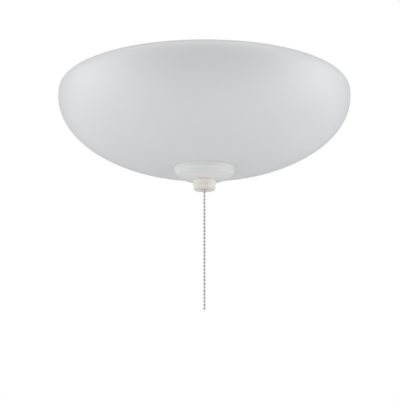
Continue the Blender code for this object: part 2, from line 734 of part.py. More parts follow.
def switch_cover():
    """Fibre plate on the open top of the housing, with a slot for each contact."""
    level = switch_top + SEAT_GAP
    shape = box_shape((switch_left, -switch_half_width, level),
                      (switch_right, switch_half_width, level + SWITCH_COVER))
    cover = add_piece("switch_cover", shape, fibre_board(), smooth=False)
    for x in contact_places():
        reach = CONTACT_WIDTH / 2 + HOLE_CLEARANCE / 2
        half = CONTACT_SHEET / 2 + HOLE_CLEARANCE / 2
        cut(cover, box_shape((x - half, -reach, level - CUT_OVERRUN),
                             (x + half, reach, level + SWITCH_COVER + CUT_OVERRUN)))
    return cover


def contact_places():
    """The two contacts stand either side of the drum's axle."""
    span = DRUM_CHEEK_RADIUS * CONTACT_PLACE_SHARE
    return [drum_axis_x - span, drum_axis_x + span]


def switch_contacts():
    """Blades that stand up through the cover, where the leads are pushed on."""
    low = switch_top + SEAT_GAP - CONTACT_DEPTH
    top = switch_top + SWITCH_COVER + CONTACT_HEIGHT
    shoulder = CONTACT_WIDTH / 2
    for name, x in zip(("switch_contact_a", "switch_contact_b"), contact_places()):
        shape = box_shape((x - CONTACT_SHEET / 2, -shoulder, low),
                          (x + CONTACT_SHEET / 2, shoulder, top))
        add_piece(name, shape, brass(), smooth=False)


def switch_axle():
    half = switch_half_width
    profile = [(0, half), (AXLE_RADIUS, half), (AXLE_RADIUS, -half), (0, -half)]
    return turned("switch_axle", profile, plated_steel(), SCREW_SIDES,
                  (drum_axis_x, 0, drum_level), ALONG_Y)


def switch_drum():
    """Grooved drum that the chain pulls round, with a cheek on each side."""
    root = DRUM_PITCH_RADIUS - BEAD_RADIUS - HOLE_CLEARANCE
    half = DRUM_HALF_WIDTH
    profile = [
        (DRUM_BORE_RADIUS, half), (DRUM_CHEEK_RADIUS, half), (DRUM_CHEEK_RADIUS, half - DRUM_CHEEK),
        (root, half - DRUM_CHEEK), (root, -half + DRUM_CHEEK),
        (DRUM_CHEEK_RADIUS, -half + DRUM_CHEEK),
        (DRUM_CHEEK_RADIUS, -half), (DRUM_BORE_RADIUS, -half)]
    return turned("switch_drum", profile, porcelain(), SMALL_SIDES,
                  (drum_axis_x, 0, drum_level), ALONG_Y)


def coil_points(radius, pitch, turns, points):
    steps = turns * points
    return [(radius * math.cos(2 * math.pi * i / points), radius * math.sin(2 * math.pi * i / points),
             pitch * i / points) for i in range(steps + 1)]


def return_spring():
    """Coil of wire round the axle, between the drum and the housing's wall."""
    start = DRUM_HALF_WIDTH + 2 * SPRING_WIRE
    points = [(drum_axis_x + x, start + z, drum_level + y)
              for x, y, z in coil_points(SPRING_RADIUS, SPRING_PITCH, SPRING_TURNS, SPRING_POINTS)]
    return tube("return_spring", points, SPRING_WIRE, plated_steel(), 1)


def tube(name, points, radius, material, roundness):
    """A round wire along a line of points, with closed ends."""
    curve = bpy.data.curves.new(name, "CURVE")
    curve.dimensions = "3D"
    curve.bevel_depth = radius
    curve.bevel_resolution = roundness
    curve.use_fill_caps = True
    spline = curve.splines.new("POLY")
    spline.points.add(len(points) - 1)
    for slot, point in zip(spline.points, points):
        slot.co = (*point, 1)
    curve.materials.append(material)
    piece = bpy.data.objects.new(name, curve)
    bpy.context.collection.objects.link(piece)
    return piece


def ring_nut():
    """Round nut that clamps the switch's mouth under the shelf."""
    top = shelf_top - SHELF_SHEET - SEAT_GAP
    hole = SWITCH_MOUTH_RADIUS + THREAD_CLEARANCE
    chamfer = RING_NUT_HEIGHT / 4
    profile = [(hole, top), (RING_NUT_RADIUS, top), (RING_NUT_RADIUS, top - RING_NUT_HEIGHT + chamfer),
               (RING_NUT_RADIUS - chamfer, top - RING_NUT_HEIGHT), (hole, top - RING_NUT_HEIGHT)]
    return turned("switch_ring_nut", profile, nickel(), SMALL_SIDES)


def pull_chain():
    """Ball chain: hollow beads joined by short links, hanging straight from the drum."""
    flat = BEAD_RADIUS * math.cos(math.radians(40))
    lift = BEAD_RADIUS * math.sin(math.radians(40))
    profile = [(0, BEAD_RADIUS)]
    for i in range(CHAIN_BEADS):
        middle = -i * CHAIN_PITCH
        profile.append((flat, middle + lift))
        profile.append((flat, middle - lift))
        if i + 1 < CHAIN_BEADS:
            profile.append((LINK_RADIUS, middle - CHAIN_PITCH / 2))
    profile.append((0, -(CHAIN_BEADS - 1) * CHAIN_PITCH - BEAD_RADIUS))
    return turned("pull_chain", profile, nickel(), CHAIN_SIDES, (0, 0, drum_level))


# Lamp holders and lamps; each is drawn along +X and its twin is turned half round

def bracket_screw_places():
    reach = holder_start + BRACKET_FOOT * BRACKET_SCREW_SHARE
    return [(reach, 0), (-reach, 0)]


def outward(side):
    """Turn about Z that faces a piece drawn along +X to its own side of the kit."""
    return Matrix.Rotation(0 if side == "a" else math.pi, 4, "Z")


def placed(shape, side):
    bmesh.ops.transform(shape, verts=shape.verts[:], matrix=outward(side))
    return shape


def along_x(shape, start, level):
    """Lays a shape turned about Z along +X, with its zero at start."""
    frame = Matrix(((0, 0, 1, start), (0, 1, 0, 0), (-1, 0, 0, level), (0, 0, 0, 1)))
    bmesh.ops.transform(shape, verts=shape.verts[:], matrix=frame)
    return shape


def point_on(side, x, y, z):
    return tuple(outward(side) @ Vector((x, y, z)))


def holder_bracket(side):
    """Bent strip: its foot lies under the shield and its leg carries the holder's back."""
    face = holder_start - SEAT_GAP
    top = shield_bottom - SEAT_GAP
    low = holder_level - BRACKET_BELOW_AXIS
    shape = extruded_shape(bracket_outline(face, top, low), BRACKET_WIDTH)
    frame = Matrix(((1, 0, 0, 0), (0, 0, -1, BRACKET_WIDTH / 2), (0, 1, 0, 0), (0, 0, 0, 1)))
    bmesh.ops.transform(shape, verts=shape.verts[:], matrix=frame)
    bracket = add_piece("holder_bracket_" + side, placed(shape, side), plated_steel())
    x, y = bracket_screw_places()[0 if side == "a" else 1]
    drill(bracket, (x, y, top - BRACKET_SHEET / 2), SCREW_RADIUS + HOLE_CLEARANCE, BRACKET_SHEET,
          sides=SCREW_SIDES)
    drill(bracket, point_on(side, face - BRACKET_SHEET / 2, 0, holder_level),
          SCREW_RADIUS + HOLE_CLEARANCE, BRACKET_SHEET, ALONG_X, SCREW_SIDES)
    return bracket


def bracket_outline(face, top, low):
    """Side view of the L: leg at the holder's back, foot reaching outwards at the top."""
    back = face - BRACKET_SHEET
    toe = face + BRACKET_FOOT
    outside = BRACKET_SHEET + BRACKET_BEND
    corner = arc(back + outside, top - outside, outside, 90, 180, 3)
    inner = arc(back + outside, top - outside, BRACKET_BEND, 180, 90, 3)
    return [(toe, top - BRACKET_SHEET), (toe, top), *corner, (back, low), (face, low), *inner]


def lamp_holder(side):
    """Porcelain body with a stepped outside and a recess for the screw shell."""
    mouth = HOLDER_LENGTH
    recess = SHELL_CREST_RADIUS + SHELL_SHEET + SEAT_GAP
    step = HOLDER_RADIUS - 2 * HOLDER_LIP
    profile = [
        (0, 0), (step, 0), (HOLDER_RADIUS, 2 * HOLDER_LIP), (HOLDER_RADIUS, mouth / 2),
        (step + HOLDER_LIP, mouth / 2 + HOLDER_LIP), (step + HOLDER_LIP, mouth - HOLDER_LIP),
        (step, mouth), (recess, mouth), (recess, HOLDER_BACK), (0, HOLDER_BACK)]
    shape = placed(along_x(turned_shape(profile, MIDDLE_SIDES), holder_start, holder_level), side)
    holder = add_piece("lamp_holder_" + side, shape, porcelain())
    deep = SCREW_RADIUS * 3
    drill_blind(holder, point_on(side, holder_start, 0, holder_level), SCREW_RADIUS + HOLE_CLEARANCE / 2,
                deep)
    return holder


def drill_blind(piece, mouth, radius, depth):
    """A round hole along X, as deep as depth on both sides of its mouth."""
    profile = [(0, depth), (radius, depth), (radius, -depth), (0, -depth)]
    cut(piece, turned_shape(profile, SCREW_SIDES), mouth, ALONG_X)


def wave(crest, start):
    """Section of the lamp's thread as (radius, distance) points, root and crest in turn."""
    root = crest - LAMP_THREAD_DEPTH
    points = [(root, start - LAMP_THREAD_PITCH / 4)]
    for i in range(LAMP_THREADS):
        at = start + i * LAMP_THREAD_PITCH
        points += [(crest, at + LAMP_THREAD_PITCH / 4), (root, at + LAMP_THREAD_PITCH * 3 / 4)]
    return points


def screw_shell(side):
    """Brass shell that the lamp screws into: plain behind, threaded in front, with a turned-in base."""
    start = HOLDER_BACK + SEAT_GAP
    threads_start = lamp_start + lamp_threads_start - holder_start
    inner_wave = wave(SHELL_CREST_RADIUS, threads_start)
    outer_wave = [(r + SHELL_SHEET, z) for r, z in inner_wave]
    end = threads_start + LAMP_THREADS * LAMP_THREAD_PITCH + 2 * SHELL_SHEET
    base_hole = SHELL_CREST_RADIUS / 2
    plain = SHELL_CREST_RADIUS - LAMP_THREAD_DEPTH
    profile = [
        (base_hole, start), (plain + SHELL_SHEET, start), *outer_wave,
        (SHELL_CREST_RADIUS + SHELL_SHEET, end), (SHELL_CREST_RADIUS, end), *inner_wave[::-1],
        (plain, start + SHELL_SHEET), (base_hole, start + SHELL_SHEET)]
    shape = placed(along_x(turned_shape(profile, SMALL_SIDES), holder_start, holder_level), side)
    return add_piece("screw_shell_" + side, shape, brass())


def centre_contact(side):
    """Round brass contact at the bottom of the shell, on the porcelain."""
    start = HOLDER_BACK + SEAT_GAP
    radius = SHELL_CREST_RADIUS / 2 - HOLE_CLEARANCE
    face = start + CONTACT_SHEET
    profile = [(0, start), (radius, start), (radius, face), (LAMP_TIP_RADIUS / 2, face + SHELL_SHEET),
               (0, face + SHELL_SHEET)]
    shape = placed(along_x(turned_shape(profile, SCREW_SIDES), holder_start, holder_level), side)
    return add_piece("centre_contact_" + side, shape, brass())


def lamp_base(side):
    """Screw base of the lamp, tapering to the centre contact."""
    screw = wave(SHELL_CREST_RADIUS - LAMP_CLEARANCE, lamp_threads_start)
    end = LAMP_BASE_LENGTH - SEAT_GAP
    profile = [
        (0, 0), (LAMP_TIP_RADIUS, 0), (LAMP_TIP_RADIUS * LAMP_TIP_FLARE_SHARE, SHELL_SHEET),
        *screw, (LAMP_NECK_RADIUS, end), (0, end)]
    shape = turned_shape(profile, SMALL_SIDES)
    return lamp_piece("lamp_base_" + side, shape, side, nickel())


def lamp_envelope(side):
    """Glass envelope, hollow, open where it is cemented into the base."""
    centre = LAMP_LENGTH - LAMP_RADIUS
    start = LAMP_BASE_LENGTH
    outside = envelope_line(LAMP_RADIUS, LAMP_NECK_RADIUS, centre, start)
    inside = envelope_line(LAMP_RADIUS - LAMP_GLASS, LAMP_NECK_RADIUS - LAMP_GLASS, centre, start)
    # The wall closes round the open neck and both skins meet the axis at the tip
    shape = turned_shape(outside + inside[::-1], SMALL_SIDES)
    return lamp_piece("lamp_envelope_" + side, shape, side, lamp_glass())


def envelope_line(radius, neck, centre, start):
    """Neck that swells in a smooth flare to a round bulb, up to its tip on the axis."""
    opening = math.acos(LAMP_FULL_SHARE)
    flare_end = centre - radius * math.sin(opening)
    full = radius * LAMP_FULL_SHARE
    flare = []
    for i in range(4):
        share = i / 4
        ease = share * share * (3 - 2 * share)
        flare.append((neck + (full - neck) * ease, start + (flare_end - start) * share))
    ball = [(radius * math.cos(a), centre + radius * math.sin(a))
            for a in (-opening, -opening / 3, math.radians(25), math.radians(60))]
    return flare + ball + [(0, centre + radius)]


def lamp_piece(name, shape, side, material):
    """Lays a piece of a lamp along its own axis, with its origin at the lamp's foot."""
    along_x(shape, 0, 0)
    placed(shape, side)
    piece = add_piece(name, shape, material, point_on(side, lamp_start, 0, holder_level))
    return piece


def holder_screws(side):
    """One screw holds the bracket's foot to the pan and one holds the porcelain to its leg."""
    x, y = bracket_screw_places()[0 if side == "a" else 1]
    seat = shield_bottom - 2 * SEAT_GAP - BRACKET_SHEET
    pan_head_screw("bracket_screw_" + side, (x, y, seat), pan_top - seat)
    back = holder_start - 2 * SEAT_GAP - BRACKET_SHEET
    turn = (0, math.pi / 2, 0) if side == "a" else (0, -math.pi / 2, 0)
    pan_head_screw("holder_screw_" + side, point_on(side, back, 0, holder_level), BRACKET_SHEET, turn)


# Leads, held inside the fitter all the way

def smooth_line(points, steps):
    """Points on a smooth curve through the given ones."""
    points = [Vector(p) for p in points]
    ends = [2 * points[0] - points[1], *points, 2 * points[-1] - points[-2]]
    line = []
    for i in range(1, len(ends) - 2):
        a, b, c, d = ends[i - 1:i + 3]
        for k in range(steps):
            t = k / steps
            line.append(0.5 * (2 * b + (c - a) * t + (2 * a - 5 * b + 4 * c - d) * t * t
                               + (3 * b - a - 3 * c + d) * t ** 3))
    return line + [points[-1]]


def holder_lead(name, side, way, material):
    """Lead from the top of a lamp holder, round through the pan's opening to a connector."""
    skin = math.sqrt(HOLDER_RADIUS ** 2 - LEAD_SPREAD ** 2)
    start_z = holder_level + skin + LEAD_RADIUS
    x = holder_start + HOLDER_LENGTH / 4
    hand = 1 if side == "a" else -1
    end_x = hand * (CONNECTOR_RADIUS - CONNECTOR_WALL - LEAD_RADIUS - HOLE_CLEARANCE)
    end_y = way * CONNECTOR_OFFSET
    turn_z = connector_mouth - 4 * LEAD_RADIUS
    places = [
        (hand * x, way * LEAD_SPREAD, start_z),
        (hand * x, way * (LEAD_SPREAD + LEAD_RADIUS), start_z + 4 * LEAD_RADIUS),
        (hand * (x - LEAD_SPREAD / 3), way * (LEAD_SPREAD + 3 * LEAD_RADIUS), start_z + 10 * LEAD_RADIUS),
        (hand * x / 2, way * (LEAD_SPREAD + CONNECTOR_OFFSET) / 2, turn_z - 2 * LEAD_RADIUS),
        (end_x + hand * LEAD_RADIUS, end_y, turn_z),
        (end_x, end_y, connector_mouth - LEAD_RADIUS),
        (end_x, end_y, connector_mouth + CONNECTOR_HEIGHT / 3)]
    return tube(name, smooth_line(places, 2), LEAD_RADIUS, material, 2)


def wire_connector(name, way):
    """Tapered twist-on cap over the joined leads, with its mouth down."""
    top = -CONNECTOR_TOP_DROP
    mouth = connector_mouth
    neck = mouth + CONNECTOR_HEIGHT / 3
    roof = top - 2 * CONNECTOR_WALL
    profile = [
        (0, top), (CONNECTOR_TOP_RADIUS - CONNECTOR_WALL / 2, top),
        (CONNECTOR_TOP_RADIUS, top - CONNECTOR_WALL),
        (CONNECTOR_RADIUS - CONNECTOR_WALL / 2, neck), (CONNECTOR_RADIUS, neck), (CONNECTOR_RADIUS, mouth),
        (CONNECTOR_RADIUS - CONNECTOR_WALL, mouth), (CONNECTOR_RADIUS - CONNECTOR_WALL, neck),
        (CONNECTOR_TOP_RADIUS - CONNECTOR_WALL, roof), (0, roof)]
    return turned(name, profile, connector_plastic(), SMALL_SIDES, (0, way * CONNECTOR_OFFSET, 0))


# Bowl and what holds it

def bowl_skin():
    """Outer skin of the bowl from its rim down to its hole, as (radius, level) points."""
    power = SHOULDER_FULLNESS_SHARE
    skin = []
    shoulder_steps, lower_steps, easing_steps = 5, 7, 3
    for i in range(shoulder_steps):
        rise = SHOULDER_RISE * math.cos(math.pi / 2 * i / shoulder_steps)
        share = (1 - (rise / SHOULDER_CURVE_HEIGHT) ** power) ** (1 / power)
        skin.append((BOWL_RADIUS * share, widest_level + rise))
    last = math.acos(BOWL_TURN_RADIUS / BOWL_RADIUS)
    for i in range(lower_steps + 1):
        angle = last * i / lower_steps
        skin.append((BOWL_RADIUS * math.cos(angle), widest_level - BOWL_CURVE_DEPTH * math.sin(angle)))
    for i in range(1, easing_steps + 1):
        inwards = (BOWL_TURN_RADIUS - BOWL_SEAT_RADIUS) * i / easing_steps
        skin.append((BOWL_TURN_RADIUS - inwards, skin_turn_level - easing_drop(inwards)))
    return skin + [(BOWL_HOLE_RADIUS, bowl_bottom)]


def inset_skin(skin, wall):
    """The same line moved inwards by the wall, square to itself."""
    inner = []
    for i, point in enumerate(skin):
        a = Vector(skin[max(i - 1, 0)])
        b = Vector(skin[min(i + 1, len(skin) - 1)])
        way = (b - a).normalized()
        inner.append((point[0] + way.y * wall, point[1] - way.x * wall))
    # The flat seat is as wide inside as outside
    inner[-2:] = [(r, z + wall) for r, z in skin[-2:]]
    return inner


def glass_bowl():
    """Blown bowl with an even wall, a rounded rim and a hole at the bottom for the rod."""
    outer = bowl_skin()
    inner = inset_skin(outer, BOWL_WALL)
    inner = inner[:1] + inner[2:-2:2] + inner[-2:]
    middle = (Vector(outer[0]) + Vector(inner[0])) / 2
    across = (Vector(outer[0]) - Vector(inner[0])) / 2
    up = Vector((-across.y, across.x))
    rim = [tuple(middle + across * math.cos(math.radians(a)) + up * math.sin(math.radians(a)))
           for a in (135, 90, 45)]
    return turned("glass_bowl", outer + inner[::-1] + rim, frosted_glass(), BOWL_SIDES)


def bowl_stops():
    """Nut and washer on the rod that the bowl is drawn up against."""
    hole = TUBE_RADIUS + THREAD_CLEARANCE
    flat_ring("stop_washer", hole, STOP_WASHER_RADIUS, stop_washer_bottom, WASHER_THICKNESS,
              plated_steel())
    hex_nut("stop_nut", stop_nut_bottom)


def bowl_gaskets():
    """Soft ring inside the bowl, and a soft sleeve ring under its hole."""
    hole = TUBE_RADIUS + HOLE_CLEARANCE
    upper = flat_ring("upper_gasket", hole, GASKET_RADIUS, gasket_bottom, GASKET_THICKNESS, rubber())
    lower_top = bowl_bottom - SEAT_GAP
    lower = flat_ring("lower_gasket", hole, GROMMET_RADIUS, lower_top - GASKET_THICKNESS,
                      GASKET_THICKNESS, rubber())
    return upper, lower


def cap_line(offset):
    """Outer line of the cap from its rim to its bottom, moved in by offset."""
    rim = cap_rim_level
    groove = rim - CAP_BEAD_HEIGHT
    wall_top = groove - CAP_GROOVE
    wall_foot = groove - CAP_WALL_HEIGHT
    wall_radius = CAP_RADIUS - CAP_GROOVE
    foot_radius = wall_radius - CAP_WALL_TAPER
    bead = CAP_BEAD_HEIGHT / 4
    edge = CAP_EDGE_RADIUS
    slope = math.atan2(CAP_DOME_HEIGHT, foot_radius - FINIAL_COLLAR_RADIUS)
    return [
        (CAP_RADIUS - bead - offset, rim), (CAP_RADIUS - offset, rim - bead),
        (CAP_RADIUS - offset, groove + bead), (wall_radius - offset, groove),
        (wall_radius - offset, wall_top), (foot_radius + edge / 3 - offset, wall_foot + edge),
        (foot_radius - edge - offset, wall_foot - edge * math.sin(slope) / 2 + offset / 2)]


def finial_cap():
    """Spun cap under the bowl: rolled bead at its rim, stepped wall and a shallow dome."""
    hole = TUBE_RADIUS + HOLE_CLEARANCE
    outside = cap_line(0)
    inside = cap_line(CAP_SHEET)
    inside = [inside[0], inside[4], inside[6]]
    dome_start = outside[-1]
    flat = FINIAL_COLLAR_RADIUS + CAP_EDGE_RADIUS
    dome = []
    for i in range(1, 4):
        share = i / 3
        radius = dome_start[0] + (flat - dome_start[0]) * share
        fall = math.sin(share * math.pi / 2) ** CAP_DOME_FULLNESS_SHARE
        level = dome_start[1] + (cap_bottom - dome_start[1]) * fall
        dome.append((radius, level))
    inner_dome = [(r, z + CAP_SHEET) for r, z in dome[1:]]
    profile = [*outside, *dome, (hole, cap_bottom), (hole, cap_bottom + CAP_SHEET), *inner_dome[::-1],
               *inside[::-1]]
    return turned("finial_cap", profile, white_steel(), WIDE_SIDES)


def finial_nut():
    """Hand nut that holds the bowl up: smooth collar, notch and ridged grip, drilled for the chain."""
    count = 2 * FINIAL_RIDGES
    collar_end = -FINIAL_COLLAR_HEIGHT
    grip_start = collar_end - FINIAL_NOTCH
    bottom = grip_start - FINIAL_GRIP_HEIGHT
    neck = FINIAL_RADIUS - 2 * FINIAL_RIDGE_DEPTH
    soft = FINIAL_COLLAR_HEIGHT / 5
    thread = TUBE_RADIUS + THREAD_CLEARANCE
    depth = -ROD_END_IN_FINIAL - CUT_OVERRUN / 2
    # Each ring is a radius, a level and whether the ridges show on it
    rings = [
        (thread, 0, False), (FINIAL_COLLAR_RADIUS - soft, 0, False), (FINIAL_COLLAR_RADIUS, -soft, False),
        (FINIAL_COLLAR_RADIUS, collar_end + soft, False), (neck, collar_end, False),
        (neck, grip_start, False), (FINIAL_RADIUS, grip_start - FINIAL_CHAMFER / 2, True),
        (FINIAL_RADIUS, bottom + FINIAL_CHAMFER, True), (FINIAL_RADIUS - FINIAL_CHAMFER, bottom, False),
        (FINIAL_HOLE_RADIUS, bottom, False), (FINIAL_HOLE_RADIUS, depth, False), (thread, depth, False)]

    def ring(radius, level, ridged):
        points = []
        for i in range(count):
            reach = radius - (FINIAL_RIDGE_DEPTH if ridged and i % 2 else 0)
            angle = math.pi * i / FINIAL_RIDGES
            points.append((reach * math.cos(angle), reach * math.sin(angle), level))
        return points

    shape = ringed_shape([ring(*row) for row in rings])
    return add_piece("finial_nut", shape, ivory_moulding(), (0, 0, finial_top))


def build():
    """Makes every piece and hangs what moves on its joint."""
    fitter_neck()
    fitter_pan()
    heat_shield()
    neck_screws()
    mounting_hardware()
    stirrup()
    stirrup_screws()
    switch_shelf()
    shelf_rivets()
    rod_and_nuts()

    switch_housing()
    switch_cover()
    switch_contacts()
    switch_axle()
    return_spring()
    ring_nut()
    drum_joint = joint_centre("drum_joint", (drum_axis_x, 0, drum_level))
    carry(switch_drum(), drum_joint)
    chain_joint = joint_centre("chain_joint", (0, 0, drum_level))
    carry(pull_chain(), chain_joint)

    for side in ("a", "b"):
        holder_bracket(side)
        lamp_holder(side)
        screw_shell(side)
        centre_contact(side)
        holder_screws(side)
        lamp_joint = joint_centre("lamp_joint_" + side, point_on(side, lamp_start, 0, holder_level))
        carry(lamp_base(side), lamp_joint)
        carry(lamp_envelope(side), lamp_joint)
        holder_lead("neutral_lead_" + side, side, 1, white_lead())
        holder_lead("live_lead_" + side, side, -1, black_lead())
    wire_connector("neutral_connector", 1)
    wire_connector("live_connector", -1)

    bowl_stops()
    bowl_joint = joint_centre("bowl_joint", (0, 0, bowl_bottom))
    for piece in (glass_bowl(), *bowl_gaskets(), finial_cap()):
        carry(piece, bowl_joint)
    finial_joint = joint_centre("finial_joint", (0, 0, finial_top), bowl_joint)
    carry(finial_nut(), finial_joint)


for existing in list(bpy.data.objects):
    bpy.data.objects.remove(existing, do_unlink=True)
build()
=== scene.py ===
"""Finished look of a bowl light kit for a ceiling fan.

Each piece made here is turned, wound or moulded in the same place as the plain
piece that it stands for, and rides on the same body. All sizes are in metres.
"""

import json
from math import acos, asin, atan2, cos, degrees, hypot, pi, radians, sin, sqrt, tan, tau

import bmesh
import bpy
from bpy.props import FloatProperty, FloatVectorProperty, IntProperty, PointerProperty
from mathutils import Matrix, Vector


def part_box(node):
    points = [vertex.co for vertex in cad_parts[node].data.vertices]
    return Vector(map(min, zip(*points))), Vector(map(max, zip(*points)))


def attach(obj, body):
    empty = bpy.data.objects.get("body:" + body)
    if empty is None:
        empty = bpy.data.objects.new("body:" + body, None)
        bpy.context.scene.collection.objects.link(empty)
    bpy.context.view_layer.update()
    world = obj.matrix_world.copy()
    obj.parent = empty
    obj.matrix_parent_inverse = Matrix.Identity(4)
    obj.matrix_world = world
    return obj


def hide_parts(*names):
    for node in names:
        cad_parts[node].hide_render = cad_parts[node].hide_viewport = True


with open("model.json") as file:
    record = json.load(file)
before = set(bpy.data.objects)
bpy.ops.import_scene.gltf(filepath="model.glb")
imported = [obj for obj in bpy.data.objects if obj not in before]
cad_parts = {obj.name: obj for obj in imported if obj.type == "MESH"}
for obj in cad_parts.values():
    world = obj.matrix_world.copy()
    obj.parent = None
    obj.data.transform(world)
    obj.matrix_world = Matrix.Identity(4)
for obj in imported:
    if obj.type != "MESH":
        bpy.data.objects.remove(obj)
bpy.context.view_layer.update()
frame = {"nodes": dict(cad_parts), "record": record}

bl_info = {
    "name": "Fan bowl light kit",
    "version": (1, 0, 0),
    "blender": (4, 5, 0),
    "location": "3D View > Sidebar > Light kit",
    "description": "Finishes the pieces of a bowl light kit for a ceiling fan",
    "category": "Object",
}

BODY_OF = {node: body for body, nodes in frame["record"]["behaviour"]["bodies"].items() for node in nodes}
SIDES = ("a", "b")

# Clearances and edges that several pieces share
HOLE_ROOM = 0.0006    # radial, round a tube in a plain hole
THREAD_ROOM = 0.0003  # radial, between a thread and what turns on it
SEAT_LIFT = 0.00028   # closes all but 0.02 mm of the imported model's gap at a seat
EDGE = 0.0002         # width of a fine edge
ROUND = 0.0003        # radius of a turned corner


# Properties

def length(name, about, default):
    return FloatProperty(name=name, description=about, default=default, unit="LENGTH", precision=5)


def share(name, about, default):
    return FloatProperty(name=name, description=about, default=default, min=0, max=4, subtype="FACTOR")


def colour(name, about, default):
    return FloatVectorProperty(
        name=name, description=about, default=default, min=0, max=1, subtype="COLOR")


def count(name, about, default):
    return IntProperty(name=name, description=about, default=default, min=1)


def slant(name, about, angle):
    return FloatProperty(name=name, description=about, default=radians(angle), unit="ROTATION")


class BowlSettings(bpy.types.PropertyGroup):
    radius: length("Radius", "Outside radius of the bowl at its widest level", 0.1778)
    rim: length("Rim level", "Level of the rim, from the top face", -0.029)
    rise: length("Shoulder rise", "From the widest level up to the rim", 0.0242)
    shoulder: length("Shoulder curve", "Height at which the shoulder's curve would close", 0.0351)
    fullness: share("Shoulder fullness", "Exponent of the shoulder's curve", 3.37)
    depth: length("Curve depth", "Depth at which the lower curve would close", 0.0950)
    turn: length("Turn radius", "Radius at which the lower curve eases into the flat seat", 0.0950)
    seat: length("Seat radius", "Radius of the flat round the hole", 0.0412)
    wall: length("Wall", "Thickness of the glass", 0.0040)
    hole: length("Hole radius", "Radius of the hole for the rod", 0.0062)
    glass: colour("Glass", "Colour of the frosted glass", (0.878, 0.890, 0.905))
    frost: share("Frost", "Roughness of the frosted skin", 0.42)
    seal: colour("Seal", "Colour of the soft rings", (0.62, 0.62, 0.60))


class CapSettings(bpy.types.PropertyGroup):
    radius: length("Radius", "Radius of the rolled bead", 0.0372)
    sheet: length("Sheet", "Thickness of the spun sheet", 0.0012)
    bead: length("Bead height", "Height of the rolled bead at the rim", 0.0038)
    groove: length("Step", "How far the wall stands behind the bead", 0.0007)
    channel: length("Channel", "Depth and height of the channel under the bead", 0.0004)
    wall: length("Wall height", "Height of the stepped wall", 0.0050)
    taper: length("Taper", "How far the wall draws in", 0.0028)
    enamel: colour("Enamel", "Colour of the white enamel", (0.875, 0.882, 0.875))
    gloss: share("Gloss", "Weight of the clear skin over the enamel", 0.05)


class FinialSettings(bpy.types.PropertyGroup):
    collar: length("Collar radius", "Radius of the smooth collar", 0.0137)
    collar_height: length("Collar height", "Height of the smooth collar", 0.0052)
    notch: length("Notch", "Height of the notch between collar and grip", 0.0006)
    notch_depth: length("Notch depth", "How far the notch cuts in", 0.0005)
    radius: length("Grip radius", "Radius over the grip's ridges", 0.0134)
    grip: length("Grip height", "Height of the ridged grip", 0.0054)
    ridges: count("Ridges", "Number of ridges round the grip", 26)
    ridge_depth: length("Ridge depth", "Depth of the furrows between ridges", 0.0006)
    hole: length("Chain hole", "Radius of the hole that the chain leaves by", 0.0030)
    thread_depth: length("Thread depth", "How far the rod reaches in", 0.0090)
    ivory: colour("Ivory", "Colour of the moulded nut", (0.945, 0.895, 0.85))


class ChainSettings(bpy.types.PropertyGroup):
    bead: length("Bead radius", "Radius of a bead", 0.0016)
    pitch: length("Pitch", "From bead to bead", 0.00435)
    beads: count("Beads", "Number of beads", 68)
    link: length("Link radius", "Radius of the wire between beads", 0.0005)
    top: length("Top bead", "Level of the uppermost bead", -0.0248)
    nickel: colour("Nickel", "Colour of the plated beads", (0.618, 0.61, 0.598))


class FitterSettings(bpy.types.PropertyGroup):
    sheet: length("Sheet", "Thickness of the spun steel", 0.0012)
    neck: length("Neck radius", "Outside radius of the neck", 0.0480)
    neck_height: length("Neck height", "Height of the neck", 0.0260)
    neck_corner: length("Neck corner", "Radius of the neck's shoulder", 0.0040)
    flange: length("Flange", "Width of the neck's flange", 0.0110)
    pan: length("Pan radius", "Outside radius of the pan", 0.1180)
    opening: length("Opening", "Radius of the opening in the pan's middle", 0.0375)
    skirt: length("Skirt", "Height of the pan's skirt", 0.0110)
    pan_corner: length("Pan corner", "Radius of the pan's shoulder", 0.0060)
    hem: length("Hem", "Radius of the rolled edge", 0.0016)
    gap: length("Seat gap", "Between two pieces that rest on each other", 0.0003)
    enamel: colour("Enamel", "Colour of the fitter's white enamel", (0.80, 0.80, 0.79))
    gloss: share("Gloss", "Weight of the clear skin over the enamel", 0.4)
    foil: colour("Foil", "Colour of the foil on the disc", (0.78, 0.79, 0.80))


class HardwareSettings(bpy.types.PropertyGroup):
    tube: length("Tube radius", "Outside radius of the threaded tube", 0.00485)
    bore: length("Bore radius", "Radius of the tube's bore", 0.0032)
    pitch: length("Thread pitch", "From crest to crest of the tube's thread", 0.00094)
    thread: length("Thread depth", "Depth of the tube's thread", 0.00045)
    flats: length("Across flats", "Width of a hexagon nut across its flats", 0.0160)
    screw: length("Screw radius", "Radius of a small screw", 0.0020)
    head: length("Head radius", "Radius of a small screw's head", 0.0038)
    head_height: length("Head height", "Height of a small screw's head", 0.0022)
    zinc: colour("Zinc", "Colour of the plated steel", (0.60, 0.60, 0.585))


class SwitchSettings(bpy.types.PropertyGroup):
    cheek: length("Cheek radius", "Radius of the drum's cheeks", 0.0092)
    pitch: length("Drum pitch radius", "From the axle to the chain's line", 0.0080)
    width: length("Half width", "Half the drum's width", 0.0036)
    cheek_width: length("Cheek", "Thickness of each cheek", 0.0012)
    bore: length("Bore", "Radius of the drum's bore", 0.0018)
    axle: length("Axle", "Radius of the axle", 0.0015)
    coil: length("Coil radius", "Radius of the return spring", 0.0031)
    wire: length("Wire", "Radius of the spring's wire", 0.0003)
    coil_pitch: length("Coil pitch", "From turn to turn of the spring", 0.0008)
    turns: count("Turns", "Turns of the spring", 3)
    moulding: colour("Moulding", "Colour of the black moulding", (0.022, 0.022, 0.024))
    fibre: colour("Fibre", "Colour of the fibre board", (0.30, 0.17, 0.08))


